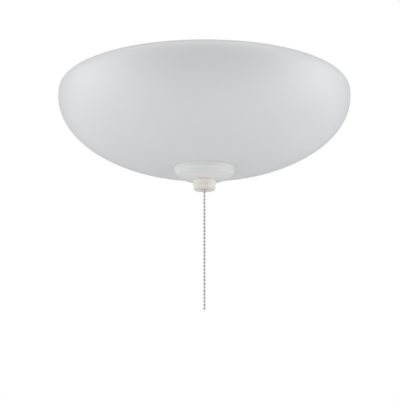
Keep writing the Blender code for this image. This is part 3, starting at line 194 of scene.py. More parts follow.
class LampSettings(bpy.types.PropertyGroup):
    start: length("Holder start", "Back of the holder from the kit's axis", 0.0210)
    axis: length("Axis level", "Level of the lamps' axis", -0.0640)
    body: length("Holder radius", "Radius of the porcelain body", 0.0190)
    reach: length("Holder length", "Length of the porcelain body", 0.0420)
    back: length("Holder back", "Solid porcelain behind the shell", 0.0080)
    lip: length("Lip", "Step of the porcelain's outside", 0.0016)
    crest: length("Shell crest", "Crest radius of the screw shell's inside", 0.0140)
    sheet: length("Shell sheet", "Thickness of the shell", 0.0005)
    thread: length("Lamp thread depth", "Depth of the lamp's thread", 0.0008)
    pitch: length("Lamp thread pitch", "From crest to crest of the lamp's thread", 0.0036)
    threads: count("Lamp threads", "Turns of the lamp's thread", 4)
    play: length("Lamp play", "Radial clearance of the lamp in its shell", 0.0007)
    foot: length("Lamp foot", "Foot of the lamp from the kit's axis", 0.0310)
    base: length("Base length", "Length of the lamp's screw base", 0.0250)
    bulb: length("Bulb radius", "Radius of the lamp's round bulb", 0.0240)
    long: length("Lamp length", "Length of the lamp with its base", 0.0890)
    neck: length("Lamp neck", "Radius of the glass where it meets the base", 0.0125)
    glass: length("Envelope wall", "Thickness of the lamp's glass", 0.0008)
    tip: length("Contact tip", "Radius of the base's contact", 0.0045)
    porcelain: colour("Porcelain", "Colour of the glazed porcelain", (0.86, 0.845, 0.80))
    brass: colour("Brass", "Colour of the brass shells", (0.78, 0.58, 0.26))
    opal: colour("Opal", "Colour of the lamps' glass", (0.88, 0.88, 0.865))


class LeadSettings(bpy.types.PropertyGroup):
    radius: length("Lead radius", "Radius of a lead over its insulation", 0.0011)
    spread: length("Spread", "Sideways from the holder's middle", 0.0130)
    offset: length("Connector offset", "Connector's axis from the kit's axis", 0.0280)
    connector: length("Connector radius", "Radius of the connector's skirt", 0.0062)
    connector_top: length("Connector top", "Radius of the connector's closed end", 0.0034)
    connector_height: length("Connector height", "Height of the connector", 0.0190)
    connector_level: length("Connector level", "Level of the connector's closed end", -0.0050)
    wall: length("Connector wall", "Thickness of the connector", 0.0014)
    white: colour("White lead", "Colour of the neutral leads", (0.78, 0.78, 0.75))
    black: colour("Black lead", "Colour of the live leads", (0.018, 0.018, 0.018))
    orange: colour("Connector", "Colour of the twist-on connectors", (0.72, 0.27, 0.05))


class StageSettings(bpy.types.PropertyGroup):
    distance: length("Distance", "From the camera to the middle of the rim", 4.0)
    slope: slant("Slope", "How steeply the camera looks up at the rim's middle", 16.61)
    aim: slant("Aim", "How steeply the camera's own axis looks up", 14.48)
    pan: slant("Pan", "How far the camera turns left of the kit's axis", 0.08)
    lens: FloatProperty(name="Lens", description="Focal length in millimetres", default=294.9)
    floor: length("Floor level", "Level of the floor", -3.6)
    spread: length("Floor radius", "How far the round floor reaches", 60.0)
    paper: colour("Floor", "Colour of the pale floor", (0.82, 0.82, 0.82))
    overhead: share("Overhead", "Strength of the soft light from above", 1.46)
    across: share("Across", "Strength of the soft light from left and right", 0.83)
    front: share("Front", "Strength of the soft light from the front", 0.90)
    back: share("Back", "Strength of the soft light from behind", 0.20)
    sides: FloatProperty(name="Side lights", description="Power of each side light in watts", default=21.4)
    low: FloatProperty(name="Low lights", description="Power of each low light in watts", default=6.2)


def kit(group):
    """The scene's settings for one group of pieces."""
    return getattr(bpy.context.scene, "light_kit_" + group)


# Shapes

def arc(centre_r, centre_z, radius, start, end, steps):
    """Points on an arc of a profile; angles in degrees from outward, upward positive."""
    angles = [radians(start + (end - start) * i / steps) for i in range(steps + 1)]
    return [(centre_r + radius * cos(a), centre_z + radius * sin(a)) for a in angles]


def lathe(profile, steps=64):
    """Spins a profile of (radius, level) about Z. One that starts on the axis closes at its poles."""
    shape = bmesh.new()
    verts = [shape.verts.new((r, 0, z)) for r, z in profile]
    poles = profile[0][0] == 0
    edges = [shape.edges.new(pair) for pair in zip(verts, verts[1:] if poles else verts[1:] + verts[:1])]
    bmesh.ops.spin(shape, geom=verts + edges, cent=(0, 0, 0), axis=(0, 0, 1), angle=tau,
                   steps=steps, use_merge=True)
    bmesh.ops.remove_doubles(shape, verts=shape.verts[:], dist=0.000001)
    bmesh.ops.recalc_face_normals(shape, faces=shape.faces[:])
    return shape


def eased(shape, width, segments=2, angle=40):
    """Rounds every edge sharper than the angle."""
    sharp = [e for e in shape.edges if len(e.link_faces) == 2 and e.calc_face_angle() > radians(angle)]
    bmesh.ops.bevel(shape, geom=sharp, offset=width, offset_type="OFFSET", segments=segments, profile=0.5,
                    affect="EDGES", material=-1, clamp_overlap=True)
    return shape


def flat_ring(node, hole, steps=64):
    """A square-edged ring as wide and as high as a node."""
    low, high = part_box(node)
    return lathe([(hole, low[2]), (high[0], low[2]), (high[0], high[2]), (hole, high[2])], steps)


def block(low, high):
    """A box between two corners."""
    shape = bmesh.new()
    bmesh.ops.create_cube(shape, size=1)
    size, middle = Vector(high) - Vector(low), (Vector(high) + Vector(low)) / 2
    return placed(shape, Matrix.Translation(middle) @ Matrix.Diagonal((*size, 1)))


def mesh_of(name, shape):
    """A mesh of the shape, which is freed."""
    mesh = bpy.data.meshes.new(name)
    shape.to_mesh(mesh)
    shape.free()
    return mesh


def added(name, data):
    """A new object in the scene."""
    thing = bpy.data.objects.new(name, data)
    bpy.context.scene.collection.objects.link(thing)
    return thing


def placed(shape, matrix):
    bmesh.ops.transform(shape, verts=shape.verts[:], matrix=matrix)
    return shape


def carved(shape, *tools):
    """The shape with each tool cut out of it."""
    blanks = [added("blank", mesh_of("blank", solid)) for solid in (shape, *tools)]
    for tool in blanks[1:]:
        cut = blanks[0].modifiers.new("cut", "BOOLEAN")
        cut.solver = "EXACT"
        cut.object = tool
    result = bmesh.new()
    result.from_object(blanks[0], bpy.context.evaluated_depsgraph_get())
    for blank in blanks:
        bpy.data.meshes.remove(blank.data)
    return result


def ridged(shape, number, depth, low, high):
    """Draws in the furrows between ridges, between two levels."""
    for vert in shape.verts:
        radius = hypot(vert.co.x, vert.co.y)
        if low < vert.co.z < high and radius > 2 * depth:
            angle = atan2(vert.co.y, vert.co.x)
            furrow = depth * (0.5 - 0.5 * cos(number * angle)) ** 1.5
            vert.co.xy *= (radius - furrow) / radius
    return shape


def threaded(radius, depth, pitch, start, end):
    """Profile of a fine thread from one level to another."""
    crests = int((end - start) / pitch)
    spare = (end - start - crests * pitch) / 2
    points = []
    for i in range(crests):
        foot = start + spare + i * pitch
        points += [(radius - depth, foot), (radius, foot + 0.4 * pitch), (radius, foot + 0.6 * pitch)]
    return points + [(radius - depth, start + spare + crests * pitch)]


def along_x(start, level, side):
    """Lays a shape turned about Z along +X, or along -X for side b."""
    lay = Matrix(((0, 0, 1, start), (0, 1, 0, 0), (-1, 0, 0, level), (0, 0, 0, 1)))
    return Matrix.Rotation(0 if side == "a" else pi, 4, "Z") @ lay


def along_y(x, level):
    """Lays a shape turned about Z along Y."""
    return Matrix.Translation((x, 0, level)) @ Matrix.Rotation(pi / 2, 4, "X")


def finished(node, shape, material, crease=38):
    """Makes the piece that stands for a node."""
    mesh = mesh_of("finished_" + node, shape)
    mesh.materials.append(material)
    mesh.shade_smooth()
    mesh.set_sharp_from_angle(angle=radians(crease))
    stands_for(node, mesh)


def stands_for(node, data):
    """Puts a piece on its node's body, and in the node's stead."""
    piece = added(data.name, data)
    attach(piece, BODY_OF[node])
    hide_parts(node)


def wire(node, points, radius, material):
    """A round wire or lead along a line of points."""
    curve = bpy.data.curves.new("finished_" + node, "CURVE")
    curve.dimensions, curve.bevel_depth, curve.bevel_resolution = "3D", radius, 4
    curve.use_fill_caps = True
    spline = curve.splines.new("POLY")
    spline.points.add(len(points) - 1)
    for slot, point in zip(spline.points, points):
        slot.co = (*point, 1)
    curve.materials.append(material)
    stands_for(node, curve)


def dressed(material, *nodes):
    """Gives CAD nodes a finished material."""
    for node in nodes:
        for slot in frame["nodes"][node].material_slots:
            slot.material = material


def levels(node):
    """Lowest and highest level of a node."""
    return [corner[2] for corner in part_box(node)]


# Materials

def fed(node, inputs):
    """Gives a node's inputs their values, or links from other nodes' outputs."""
    for socket, value in inputs.items():
        if isinstance(value, bpy.types.NodeSocket):
            node.id_data.links.new(value, node.inputs[socket])
        else:
            node.inputs[socket].default_value = value
    return node


def surface(name, tint, roughness, metallic=0.0, *, cloud, grain, stretch=(1, 1, 1), spread=0.05,
            **sockets):
    """Principled material with a clouded colour, an uneven polish and a fine grain.

    The cloud has a scale and a contrast, the grain a scale, a strength and a depth, and the
    roughness varies by the spread. A material is made once. The prefix keeps it apart from
    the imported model's own plain materials.
    """
    name = "finished_" + name
    material = bpy.data.materials.get(name)
    if material:
        return material
    material = bpy.data.materials.new(name)
    material.use_nodes = True
    nodes = material.node_tree.nodes
    place = nodes.new("ShaderNodeTexCoord").outputs["Object"]
    way = fed(nodes.new("ShaderNodeMapping"), {"Vector": place, "Scale": stretch}).outputs["Vector"]
    clouds = fed(nodes.new("ShaderNodeTexNoise"), {"Vector": way, "Scale": cloud[0], "Detail": 4})
    ramp = fed(nodes.new("ShaderNodeValToRGB"), {"Fac": clouds.outputs["Fac"]})
    for end, hand in zip(ramp.color_ramp.elements, (-1, 1)):
        end.position = 0.5 + 0.2 * hand
        end.color = (*[min(1, c * (1 + hand * cloud[1])) for c in tint], 1)
    polish = fed(nodes.new("ShaderNodeMapRange"), {
        "Value": clouds.outputs["Fac"], "To Min": roughness - spread, "To Max": roughness + spread})
    fine = fed(nodes.new("ShaderNodeTexNoise"), {"Vector": way, "Scale": grain[0], "Detail": 3})
    bump = fed(nodes.new("ShaderNodeBump"), {
        "Height": fine.outputs["Fac"], "Strength": grain[1], "Distance": grain[2]})
    fed(nodes["Principled BSDF"], {
        "Base Color": ramp.outputs["Color"], "Roughness": polish.outputs["Result"],
        "Normal": bump.outputs["Normal"], "Metallic": metallic, "Subsurface Radius": (1, 1, 1),
        **{socket.replace("_", " "): value for socket, value in sockets.items()}})
    return material


def frosted_glass():
    """Acid-frosted white glass: soft, slightly lit through, with a fine etched grain."""
    return surface(
        "frosted_glass", kit("bowl").glass, kit("bowl").frost, cloud=(7, 0.012),
        grain=(2200, 0.10, 0.00012), spread=0.03, Subsurface_Weight=0.45, Subsurface_Scale=0.012,
        IOR=1.5, Coat_Weight=0.05, Coat_Roughness=0.3)


def enamel(name, tint, gloss):
    """White baked enamel with a faint orange peel."""
    return surface(
        name, tint, 0.40, cloud=(18, 0.012), grain=(650, 0.12, 0.00025), Coat_Weight=gloss,
        Coat_Roughness=0.22)


def zinc():
    """Bright zinc plate over rolled steel."""
    return surface(
        "zinc_plate", kit("hardware").zinc, 0.34, 1.0, cloud=(120, 0.07), grain=(700, 0.16, 0.0002),
        stretch=(1, 1, 0.15), spread=0.10)


def nickel():
    """Nickel plate, slightly warm."""
    return surface(
        "nickel_plate", kit("chain").nickel, 0.26, 1.0, cloud=(240, 0.05), grain=(1500, 0.08, 0.0001),
        spread=0.06)


def brass():
    return surface(
        "brass_sheet", kit("lamps").brass, 0.30, 1.0, cloud=(160, 0.08), grain=(900, 0.12, 0.0002),
        spread=0.08)


def porcelain():
    """Glazed porcelain with the odd fleck in its body."""
    return surface(
        "glazed_porcelain", kit("lamps").porcelain, 0.16, cloud=(90, 0.03), grain=(260, 0.08, 0.0004),
        Coat_Weight=0.6, Coat_Roughness=0.06)


def opal():
    """Lamp glass, coated white inside."""
    return surface(
        "opal_envelope", kit("lamps").opal, 0.24, cloud=(30, 0.01), grain=(1800, 0.05, 0.0001),
        spread=0.03, Subsurface_Weight=0.2, Subsurface_Scale=0.004, Coat_Weight=0.3, Coat_Roughness=0.15)


def foil():
    """Crinkled foil on the insulating disc."""
    return surface(
        "crinkled_foil", kit("fitter").foil, 0.30, 1.0, cloud=(55, 0.05), grain=(85, 0.75, 0.0012),
        spread=0.12)


def rubber():
    return surface(
        "soft_rubber", kit("bowl").seal, 0.72, cloud=(60, 0.05), grain=(1400, 0.25, 0.0002), spread=0.06)


def ivory():
    """Ivory moulding with a satin skin."""
    return surface(
        "ivory_moulding", kit("finial").ivory, 0.38, cloud=(80, 0.02), grain=(1600, 0.12, 0.00015),
        Subsurface_Weight=0.10, Subsurface_Scale=0.003)


def black_moulding():
    return surface(
        "black_moulding", kit("switch").moulding, 0.42, cloud=(110, 0.15), grain=(1500, 0.25, 0.0002),
        spread=0.07)


def fibre_board():
    """Pressed fibre, flecked."""
    return surface(
        "fibre_board", kit("switch").fibre, 0.66, cloud=(420, 0.28), grain=(1300, 0.35, 0.0003),
        stretch=(1, 0.35, 1), spread=0.08)


def insulation(name, tint):
    return surface(name, tint, 0.46, cloud=(90, 0.05), grain=(700, 0.10, 0.0002), spread=0.06)


# Pieces

def bowl_line(bowl, inset):
    """Skin of the bowl from rim to hole, moved inwards by inset, square to itself."""
    above, below, level = 24, 44, 16  # points up the shoulder, down the side, on to the flat
    widest = bowl.rim - bowl.rise
    line = []
    for i in range(above):
        rise = bowl.rise * cos(pi / 2 * i / above)
        line.append((bowl.radius * (1 - (rise / bowl.shoulder) ** bowl.fullness) ** (1 / bowl.fullness),
                     widest + rise))
    last = acos(bowl.turn / bowl.radius)
    line += [(bowl.radius * cos(last * i / below), widest - bowl.depth * sin(last * i / below))
             for i in range(below + 1)]
    slope = bowl.depth * bowl.turn / bowl.radius ** 2 / sin(last)
    run = bowl.turn - bowl.seat
    line += [(bowl.turn - run * t, line[-1][1] - slope * run * (t - t ** 2 / 2))
             for t in (i / level for i in range(1, level + 1))]
    line.append((bowl.hole, line[-1][1]))
    moved = []
    for i, (r, z) in enumerate(line):
        way = Vector(line[min(i + 1, len(line) - 1)]) - Vector(line[max(i - 1, 0)])
        way.normalize()
        moved.append((r + way.y * inset, z - way.x * inset))
    moved[-1] = (bowl.hole, line[-1][1] + inset)
    return moved


class LIGHTKIT_OT_bowl(bpy.types.Operator):
    """Makes the frosted glass bowl and the soft rings that seat it"""
    bl_idname = "lightkit.bowl"
    bl_label = "Glass bowl"

    def execute(self, context):
        bowl = kit("bowl")
        outer, inner = bowl_line(bowl, 0), bowl_line(bowl, bowl.wall)
        middle = (Vector(outer[0]) + Vector(inner[0])) / 2
        across = (Vector(outer[0]) - Vector(inner[0])) / 2
        up = Vector((-across.y, across.x))
        rim = [tuple(middle + across * cos(a) + up * sin(a))
               for a in (pi * (1 - i / 8) for i in range(1, 8))]
        finished("glass_bowl", lathe(outer + inner[::-1] + rim, 192), frosted_glass(), 60)
        hole, soft_edge = kit("hardware").tube + HOLE_ROOM, 0.0005
        for node in ("upper_gasket", "lower_gasket"):
            finished(node, eased(flat_ring(node, hole), soft_edge, 3), rubber())
        return {"FINISHED"}


class LIGHTKIT_OT_cap(bpy.types.Operator):
    """Makes the spun cap under the bowl"""
    bl_idname = "lightkit.cap"
    bl_label = "Cap"

    def execute(self, context):
        cap, tube = kit("cap"), kit("hardware").tube
        bottom, rim = levels("finial_cap")
        groove = rim - cap.bead
        wall = cap.radius - cap.groove
        back, under = wall - cap.channel, groove - cap.channel
        foot = wall - cap.taper
        wall_foot = groove - cap.wall
        lip, crisp = 0.0010, 0.0001  # width of the rim's top and of its edge
        turn, lift = 0.0008, 0.0005  # radius of bead and wall's foot, rise of the foot's centre
        fullness, steps = 1.2, 16  # exponent and points of the dome's fall
        flat = kit("finial").collar + lip
        hole, seat = tube + HOLE_ROOM, rim + SEAT_LIFT
        outside = [(cap.radius - lip, seat), (cap.radius - crisp, seat), (cap.radius, seat - crisp),
                   *arc(cap.radius - turn, groove + turn, turn, 0, -80, 5),
                   (back, groove), (back, under), (wall - EDGE, under), (wall, under - EDGE),
                   *arc(foot - turn, wall_foot + lift, turn, 25, -60, 5)]
        r, z = outside[-1]
        outside += [(r + (flat - r) * t, z + (bottom - z) * sin(t * pi / 2) ** fullness)
                    for t in (i / steps for i in range(1, steps + 1))]
        outside.append((hole, bottom))
        inside = [(cap.radius - cap.sheet, seat), (wall - cap.sheet, groove),
                  (foot - cap.sheet, wall_foot + cap.sheet)]
        inside += [(r, z + cap.sheet) for r, z in outside[-steps:-1]] + [(hole, bottom + cap.sheet)]
        white = enamel("cap_enamel", cap.enamel, cap.gloss)
        finished("finial_cap", lathe(outside + inside[::-1], 144), white)
        return {"FINISHED"}


class LIGHTKIT_OT_finial(bpy.types.Operator):
    """Makes the hand nut with its collar, notch and ridged grip"""
    bl_idname = "lightkit.finial"
    bl_label = "Hand nut"

    def execute(self, context):
        nut, hardware = kit("finial"), kit("hardware")
        top = levels("finial_nut")[1]
        collar_end = top - nut.collar_height
        grip = collar_end - nut.notch
        bottom = grip - nut.grip
        neck = nut.radius - nut.notch_depth
        bore = hardware.tube + THREAD_ROOM
        foot, mouth = 0.0012, 0.0010  # radius of the grip's foot, flare of the chain's hole
        rows, facets = 8, 8  # down the grip, and round it for each ridge
        deep = top - nut.thread_depth - mouth
        seat = top + SEAT_LIFT
        profile = [
            (bore, seat), (nut.collar - EDGE, seat), (nut.collar, seat - EDGE),
            *arc(nut.collar - ROUND, collar_end + ROUND, ROUND, 0, -80, 4), (neck, collar_end),
            (neck, grip), (nut.radius - ROUND, grip), (nut.radius, grip - ROUND),
            *[(nut.radius, grip + (bottom - grip) * i / rows) for i in range(1, rows - 1)],
            *arc(nut.radius - foot, bottom + foot, foot, 0, -80, 6),
            (nut.hole + mouth, bottom), (nut.hole + ROUND, bottom + 2 * EDGE), (nut.hole, bottom + mouth),
            (nut.hole, deep), *threaded(bore, -EDGE, hardware.pitch, deep, top - 4 * EDGE)]
        shape = lathe(profile, nut.ridges * facets)
        ridged(shape, nut.ridges, nut.ridge_depth, bottom + EDGE, grip - EDGE)
        finished("finial_nut", shape, ivory(), 50)
        return {"FINISHED"}


class LIGHTKIT_OT_chain(bpy.types.Operator):
    """Makes the ball chain, every bead joined to the next by its wire link"""
    bl_idname = "lightkit.chain"
    bl_label = "Ball chain"

    def execute(self, context):
        chain = kit("chain")
        mouth = degrees(asin(chain.link * 1.5 / chain.bead))  # of the hole that a link enters
        inset = 0.0001  # of the link, inside that hole
        profile = [(0, chain.top + chain.bead)]
        for i in range(chain.beads):
            bead = arc(0, chain.top - i * chain.pitch, chain.bead, 90 - mouth, mouth - 90, 9)
            if i:
                profile.append((chain.link, bead[0][1] - inset))
            profile += bead
            if i + 1 < chain.beads:
                profile.append((chain.link, bead[-1][1] + inset))
        profile.append((0, profile[-1][1]))
        finished("pull_chain", lathe(profile, 16), nickel(), 50)
        return {"FINISHED"}


class LIGHTKIT_OT_fitter(bpy.types.Operator):
    """Makes the neck, the pan and the foil-faced disc"""
    bl_idname = "lightkit.fitter"
    bl_label = "Fitter"

    def execute(self, context):
        fit, tube = kit("fitter"), kit("hardware").tube
        white = enamel("fitter_enamel", fit.enamel, fit.gloss)
        hole, corner, bottom = tube + HOLE_ROOM, fit.neck_corner, -fit.neck_height
        flange, fillet = fit.neck + fit.flange, 0.0015
        neck = lathe([
            (hole, 0), *arc(fit.neck - corner, -corner, corner, 90, 0, 10),
            *arc(fit.neck + fillet, bottom + fit.sheet + fillet, fillet, 180, 270, 5),
            (flange, bottom + fit.sheet), (flange, bottom), (fit.neck - fit.sheet, bottom),
            *arc(fit.neck - corner, -corner, corner - fit.sheet, 0, 90, 10), (hole, -fit.sheet)], 128)
        finished("fitter_neck", eased(neck, ROUND, 2, 60), white)

        top = bottom - fit.gap
        shoulder = fit.pan - fit.pan_corner
        hem_level = top - fit.skirt
        crook = 0.0008  # radius where the skirt turns out to its hem
        pan = lathe([
            (fit.opening, top), *arc(shoulder, top - fit.pan_corner, fit.pan_corner, 90, 0, 10),
            *arc(fit.pan + crook, hem_level + fit.hem + 2 * ROUND, crook, 180, 250, 3),
            *arc(fit.pan - fit.sheet + fit.hem, hem_level, fit.hem, 90, -180, 14),
            *arc(shoulder, top - fit.pan_corner, fit.pan_corner - fit.sheet, 0, 90, 10),
            (fit.opening, top - fit.sheet)], 160)
        finished("fitter_pan", eased(pan, ROUND, 2, 75), white)
        finished("heat_shield", eased(flat_ring("heat_shield", fit.opening, 128), ROUND), foil())
        return {"FINISHED"}


def hexagon_nut(node, hardware):
    """Nut with the arcs that a turned chamfer leaves on its flats."""
    low, high = levels(node)
    flat = hardware.flats / 2
    turned = flat * 0.95
    hole, flare = hardware.tube + THREAD_ROOM, 2 * EDGE
    shape = lathe([(hole + flare, low), (turned, low), (flat, low), (flat, high), (turned, high),
                   (hole + flare, high), (hole, high - flare), (hole, low + flare)], 72)
    for vert in shape.verts:
        radius = hypot(vert.co.x, vert.co.y)
        if radius > (turned + flat) / 2:
            angle = degrees(atan2(vert.co.y, vert.co.x)) % 60
            reach = flat / cos(radians(angle - 30))
            fall = (reach - turned) * tan(radians(30))
            vert.co.xy *= reach / radius
            vert.co.z += fall if vert.co.z < (low + high) / 2 else -fall
    finished(node, shape, zinc(), 25)


def pan_head_screw(node, hardware, matrix, grip_end):
    """Small screw with a domed, cross-recessed head, its bearing face at zero and its point up."""
    rise, head, radius = hardware.head_height, hardware.head, hardware.screw
    depth, pitch = 0.0003, 0.0007  # of the screw's own thread
    dome = [(head * cos(radians(a)), -rise * 0.35 - rise * 0.65 * sin(radians(a)))
            for a in (90, 70, 50, 30, 12, 0)]
    shape = lathe([(0, dome[0][1]), *dome[1:], (head, -EDGE), (head - EDGE, 0), (radius, 0),
                   *threaded(radius, depth, pitch, depth, grip_end - radius * 0.6),
                   (radius * 0.5, grip_end), (0, grip_end)], 32)
    arm, width = head * 0.52, head * 0.11
    tools = [block((-x, -y, -2 * rise), (x, y, -rise * 0.45)) for x, y in ((arm, width), (width, arm))]
    finished(node, placed(carved(shape, *tools), matrix), zinc())


class LIGHTKIT_OT_hardware(bpy.types.Operator):
    """Makes the threaded tubes, nuts, washers, screws and rivets"""
    bl_idname = "lightkit.hardware"
    bl_label = "Hardware"

    def execute(self, context):
        hardware = kit("hardware")
        steel = zinc()
        for node in ("mounting_nipple", "centre_rod"):
            low, high = levels(node)
            start, point = 0.0005, hardware.tube - 0.0008
            line = threaded(hardware.tube, hardware.thread, hardware.pitch, low + start, high - start)
            line = [(hardware.bore, low), (point, low), *line, (point, high), (hardware.bore, high)]
            finished(node, lathe(line, 32), steel, 28)
        for node in ("fan_nut", "nipple_nut", "rod_nut_upper", "rod_nut_lower", "stop_nut"):
            hexagon_nut(node, hardware)
        for node in ("fan_washer", "nipple_washer", "rod_washer", "stop_washer"):
            finished(node, eased(flat_ring(node, hardware.tube + THREAD_ROOM), EDGE), steel)
        for node in ("neck_screw_a", "neck_screw_b", "neck_screw_c", "stirrup_screw_a", "stirrup_screw_b",
                     "bracket_screw_a", "bracket_screw_b"):
            low, high = map(Vector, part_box(node))
            seat = low.z + hardware.head_height
            centre = (low + high) / 2
            pan_head_screw(node, hardware, Matrix.Translation((centre.x, centre.y, seat)), high.z - seat)
        for side in SIDES:
            node = "holder_screw_" + side
            low, high = map(Vector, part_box(node))
            start = min(abs(low.x), abs(high.x)) + hardware.head_height
            reach = max(abs(low.x), abs(high.x)) - start
            pan_head_screw(node, hardware, along_x(start, (low.z + high.z) / 2, side), reach)
            node = "shelf_rivet_" + side
            low, high = map(Vector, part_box(node))
            near, far = sorted((abs(low.y), abs(high.y)))
            head, radius, tall = (high.z - low.z) / 2, 0.0015, 0.0009
            rivet = lathe([
                (0, near), (radius, near), (head, near + tall * 0.7), (head, near + tall),
                (radius, near + tall), (radius, far - tall), (head, far - tall),
                (head * 0.94, far - tall * 0.55), (head * 0.7, far - tall * 0.2), (head * 0.35, far),
                (0, far)], 32)
            turn = Matrix.Rotation(-pi / 2 if side == "a" else pi / 2, 4, "X")
            finished(node, placed(rivet, Matrix.Translation((0, 0, (low.z + high.z) / 2)) @ turn), steel)
        strip = surface("bent_zinc_strip", hardware.zinc, 0.36, 1.0, cloud=(70, 0.08),
                        grain=(500, 0.18, 0.0002), stretch=(0.15, 1, 1), spread=0.1)
        dressed(strip, "rod_stirrup", "switch_shelf", "holder_bracket_a", "holder_bracket_b")
        return {"FINISHED"}


class LIGHTKIT_OT_switch(bpy.types.Operator):
    """Makes the pull switch's moving parts and ring nut, and dresses its housing"""
    bl_idname = "lightkit.switch"
    bl_label = "Pull switch"

    def execute(self, context):
        switch = kit("switch")
        x, level = -switch.pitch, kit("chain").top
        half, cheek, groove = switch.width, switch.width - switch.cheek_width, 2 * ROUND
        root = switch.pitch - kit("chain").bead - groove
        drum = lathe([
            (switch.bore, half), (switch.cheek, half), (switch.cheek, cheek), (root + groove, cheek),
            (root, cheek - groove), (root, groove - cheek), (root + groove, -cheek),
            (switch.cheek, -cheek), (switch.cheek, -half), (switch.bore, -half)], 48)
        finished("switch_drum", placed(eased(drum, EDGE), along_y(x, level)), porcelain())
        low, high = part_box("switch_axle")
        reach = (high[1] - low[1]) / 2
        axle = lathe([(0, reach), (switch.axle, reach), (switch.axle, -reach), (0, -reach)], 32)
        finished("switch_axle", placed(eased(axle, EDGE), along_y(x, level)), zinc())

        start, steps = half + 2 * switch.wire, 28
        coil = [(x + switch.coil * cos(tau * i / steps), start + switch.coil_pitch * i / steps,
                 level + switch.coil * sin(tau * i / steps))
                for i in range(switch.turns * steps + 1)]
        wire("return_spring", coil, switch.wire, zinc())

        low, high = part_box("switch_ring_nut")
        radius, hole, rows, bevel, ridges = high[0], 0.0048, 5, 2 * ROUND, 36
        side = [(radius, high[2] - ROUND + (low[2] - high[2] + 3 * ROUND) * i / rows)
                for i in range(rows + 1)]
        ring = lathe([(hole, high[2]), (radius - ROUND, high[2]), *side, (radius - bevel, low[2]),
                      (hole, low[2])], 144)
        ridged(ring, ridges, ROUND, low[2] + ROUND + EDGE, high[2] - EDGE)
        finished("switch_ring_nut", ring, nickel(), 50)
        dressed(black_moulding(), "switch_housing")
        dressed(fibre_board(), "switch_cover")
        dressed(brass(), "switch_contact_a", "switch_contact_b")
        return {"FINISHED"}


def lamp_thread(lamp, crest, start):
    """Rounded thread of a lamp base or its shell, as (radius, distance) points."""
    steps = 12  # to a turn, from a quarter turn before the start
    return [(crest - lamp.thread * (0.5 - 0.5 * cos(tau * (i / steps + 0.25))),
             start + lamp.pitch * i / steps) for i in range(-3, lamp.threads * steps - 2)]


class LIGHTKIT_OT_holders(bpy.types.Operator):
    """Makes the porcelain holders, their screw shells and centre contacts"""
    bl_idname = "lightkit.holders"
    bl_label = "Lamp holders"

    def execute(self, context):
        lamp = kit("lamps")
        recess = lamp.crest + lamp.sheet + ROUND
        step, mouth, lip = lamp.body - 2 * lamp.lip, lamp.reach, lamp.lip
        first, glaze = lamp.back + ROUND, 0.0007
        threads = lamp.foot + lamp.base - lamp.threads * lamp.pitch - 2 * lamp.sheet - lamp.start
        inner = lamp_thread(lamp, lamp.crest, threads)
        outer = [(r + lamp.sheet, z) for r, z in inner]
        end = inner[-1][1] + lamp.pitch / 4 + 2 * lamp.sheet
        plain, hole = lamp.crest - lamp.thread, lamp.crest / 2
        contact, crown, side_level, top = hole - HOLE_ROOM, 0.0023, first + 0.0006, first + 0.0011
        for side in SIDES:
            lay = along_x(lamp.start, lamp.axis, side)
            body = lathe([
                (0, 0), (step, 0), (lamp.body, 2 * lip), (lamp.body, mouth / 2),
                (step + lip, mouth / 2 + lip), (step + lip, mouth - lip), (step, mouth), (recess, mouth),
                (recess, lamp.back), (0, lamp.back)], 96)
            finished("lamp_holder_" + side, placed(eased(body, glaze, 3, 20), lay), porcelain())
            shell = lathe([
                (hole, first), (plain + lamp.sheet, first), *outer, (lamp.crest + lamp.sheet, end),
                (lamp.crest, end), *inner[::-1], (plain, first + lamp.sheet),
                (hole, first + lamp.sheet)])
            finished("screw_shell_" + side, placed(shell, lay), brass())
            disc = lathe([(0, first), (contact, first), (contact, side_level), (crown, top), (0, top)], 32)
            finished("centre_contact_" + side, placed(disc, lay), brass())
        return {"FINISHED"}


class LIGHTKIT_OT_lamps(bpy.types.Operator):
    """Makes the two lamps, each a screw base and a coated envelope"""
    bl_idname = "lightkit.lamps"
    bl_label = "Lamps"

    def execute(self, context):
        lamp = kit("lamps")
        threads = lamp.base - lamp.threads * lamp.pitch - 2 * lamp.sheet
        screw = lamp_thread(lamp, lamp.crest - lamp.play, threads)
        end, tip, insulator = lamp.base - ROUND, 2 * EDGE, 6 * EDGE
        glass = self.envelope(lamp, 0) + self.envelope(lamp, lamp.glass)[::-1]
        for side in SIDES:
            lay = along_x(lamp.foot, lamp.axis, side)
            base = lathe([(0, 0), (lamp.tip * 0.8, 0), (lamp.tip, tip), (lamp.tip * 1.3, insulator),
                          *screw, (lamp.neck, end), (0, end)])
            finished("lamp_base_" + side, placed(base, lay), nickel(), 45)
            finished("lamp_envelope_" + side, placed(lathe(glass, 96), lay), opal(), 60)
        return {"FINISHED"}

    def envelope(self, lamp, inset):
        """Neck, flare and ball of the envelope, up to its tip on the axis."""
        radius, neck = lamp.bulb - inset, lamp.neck - inset
        centre, full = lamp.long - lamp.bulb, 0.8  # share of the ball's radius where the flare ends
        flare, ball = 20, 28  # points along each
        opening = acos(full)
        stop = centre - radius * sin(opening)
        line = [(neck + (radius * full - neck) * t * t * (3 - 2 * t), lamp.base + (stop - lamp.base) * t)
                for t in (i / flare for i in range(flare))]
        line += [(radius * cos(a), centre + radius * sin(a))
                 for a in ((pi / 2 + opening) * i / ball - opening for i in range(ball))]
        return line + [(0, centre + radius)]


